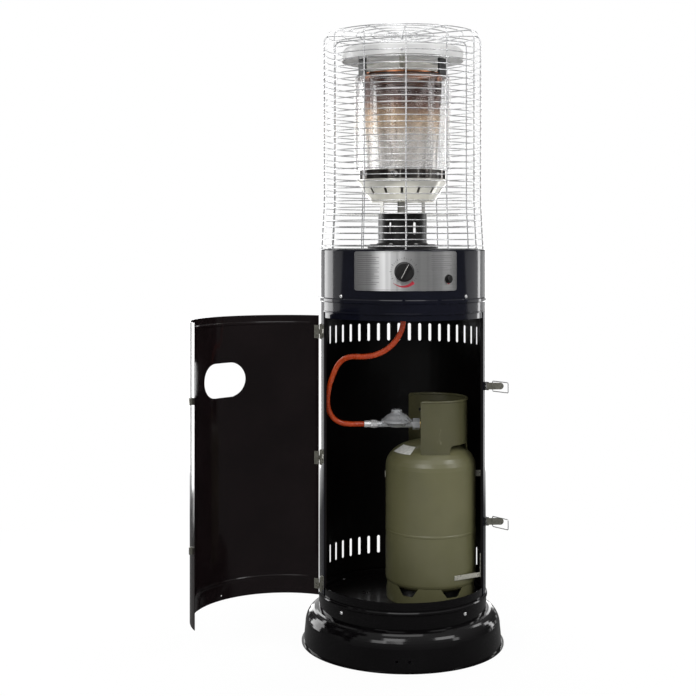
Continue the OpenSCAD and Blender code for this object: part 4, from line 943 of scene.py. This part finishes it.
def make_world():
    """White to the camera and from behind; a dim room in front, as a photographer's studio has."""
    world = bpy.data.worlds.new("studio")
    bpy.context.scene.world = world
    world.use_nodes = True
    sky = Nodes(world.node_tree)
    sky.tree.nodes.clear()
    out = sky.add("ShaderNodeOutputWorld")
    rays = sky.add("ShaderNodeLightPath").outputs
    way = sky.parts(sky.add("ShaderNodeTexCoord").outputs["Generated"])

    def white(strength):
        node = sky.add("ShaderNodeBackground")
        node.inputs["Color"].default_value = (1, 1, 1, 1)
        sky.feed(strength, node.inputs["Strength"])
        return node.outputs["Background"]

    around = sky.combined("ADD", sky.spread(way["Y"], FRONT_LEVEL, SIDE_LEVEL, *AROUND_BAND),
                          sky.spread(way["Z"], 0, UP_LEVEL, *UP_BAND))
    level = sky.combined("ADD", sky.spread(way["Y"], 0, 1, *REAR_BAND), around, clamp=True)
    plain = sky.combined("MAXIMUM", rays["Is Camera Ray"], rays["Is Transmission Ray"])
    room = sky.mixed(rays["Is Glossy Ray"], white(SOFT_LEVEL), white(level))
    sky.link(sky.mixed(plain, room, white(1.0)), out.inputs["Surface"])


FLOOR_HALF = 400
# Share of plain white that the camera sees near the heater, and the distances over which it grows to all
FLOOR_LIFT = 0.94
LIFT_SPAN = (0.4, 1.6)
# Under the base, out to this radius, no plain white is added
UNDER_BASE = 0.215
BASE_EDGE = 0.002
# Strength of the floor's white in mirrors, and the distances behind over which it grows to all
NEAR_GLOSS = 0.15
GLOSS_SPAN = (1.2, 2.0)


def floor_look():
    """White with the heater's soft shadow, with plain white mixed in for the camera and for mirrors."""
    look = Look("floor_white")
    look.colour(look.ramp(look.noise(3), (0.3, grey(238)), (0.7, grey(243))))
    look.fixed(Roughness=0.9, Specular_IOR_Level=0.0)
    rays = look.add("ShaderNodeLightPath").outputs
    reach = look.length(look.place)
    open_floor = look.spread(reach, 0, 1, UNDER_BASE, UNDER_BASE + BASE_EDGE)
    plain = look.spread(reach, FLOOR_LIFT, 1, *LIFT_SPAN)
    direct = look.combined("MAXIMUM", rays["Is Camera Ray"], rays["Is Transmission Ray"])
    seen = look.combined("MULTIPLY", direct, plain)
    lifted = look.combined("MAXIMUM", seen, rays["Is Glossy Ray"])
    mirrored = look.spread(look.parts(look.place)["Y"], NEAR_GLOSS, 1, *GLOSS_SPAN)
    lift = look.add("ShaderNodeEmission")
    look.link(look.either(direct, mirrored, 1.0), lift.inputs["Strength"])
    share = look.combined("MULTIPLY", lifted, open_floor)
    surface = look.mixed(share, look.shader.outputs["BSDF"], lift.outputs["Emission"])
    look.link(surface, look.tree.nodes["Material Output"].inputs["Surface"])
    return look.material


def make_floor():
    half = FLOOR_HALF
    mesh = bpy.data.meshes.new("floor")
    mesh.from_pydata([(-half, -half, 0), (half, -half, 0), (half, half, 0), (-half, half, 0)], [],
                     [(0, 1, 2, 3)])
    floor = bpy.data.objects.new("floor", mesh)
    bpy.context.scene.collection.objects.link(floor)
    mesh.materials.append(floor_look())


def area_lamp(name, at, target, width, tall, power):
    """A rectangular lamp at a place, aimed at the target, with its size in metres and its power in watts."""
    data = bpy.data.lights.new(name, "AREA")
    data.shape = "RECTANGLE"
    data.size = width
    data.size_y = tall
    data.energy = power
    lamp = bpy.data.objects.new(name, data)
    lamp.location = at
    lamp.rotation_euler = (Vector(target) - Vector(at)).to_track_quat("-Z", "Y").to_euler()
    bpy.context.scene.collection.objects.link(lamp)


def make_lamps():
    area_lamp("key_front", (-0.75, -3.0, 2.9), (0, 0, 0.7), 1.5, 1.5, 36)
    area_lamp("key_right", (2.4, -1.6, 2.7), (0, 0, 0.7), 1.3, 1.3, 30)
    area_lamp("strip_left", (-1.46, 0.65, 0.85), (0, 0, 0.85), 0.36, 1.8, 8)
    area_lamp("strip_right", (1.36, 0.83, 0.85), (0, 0, 0.85), 0.2, 1.8, 5)
    area_lamp("top", (0, -0.4, 3.0), (0, 0, 0.8), 1.4, 1.4, 14)
    area_lamp("rim_left", (-0.85, 2.0, 0.8), (-0.2, 0, 0.8), 0.4, 1.7, 8)
    area_lamp("rim_door", (-1.65, 1.25, 0.7), (-0.48, -0.3, 0.7), 0.4, 1.5, 9)
    area_lamp("rim_right", (0.72, 2.0, 0.8), (0.2, 0, 0.8), 0.3, 1.7, 5)
    area_lamp("card_left", (-1.5, -2.5, 1.65), (0, 0, 1.2), 0.9, 0.9, 9)
    area_lamp("card_right", (2.6, -1.3, 1.65), (0, 0, 1.2), 0.4, 0.9, 4)


make_world()
make_floor()
make_lamps()
bpy.context.scene.view_settings.view_transform = "Standard"
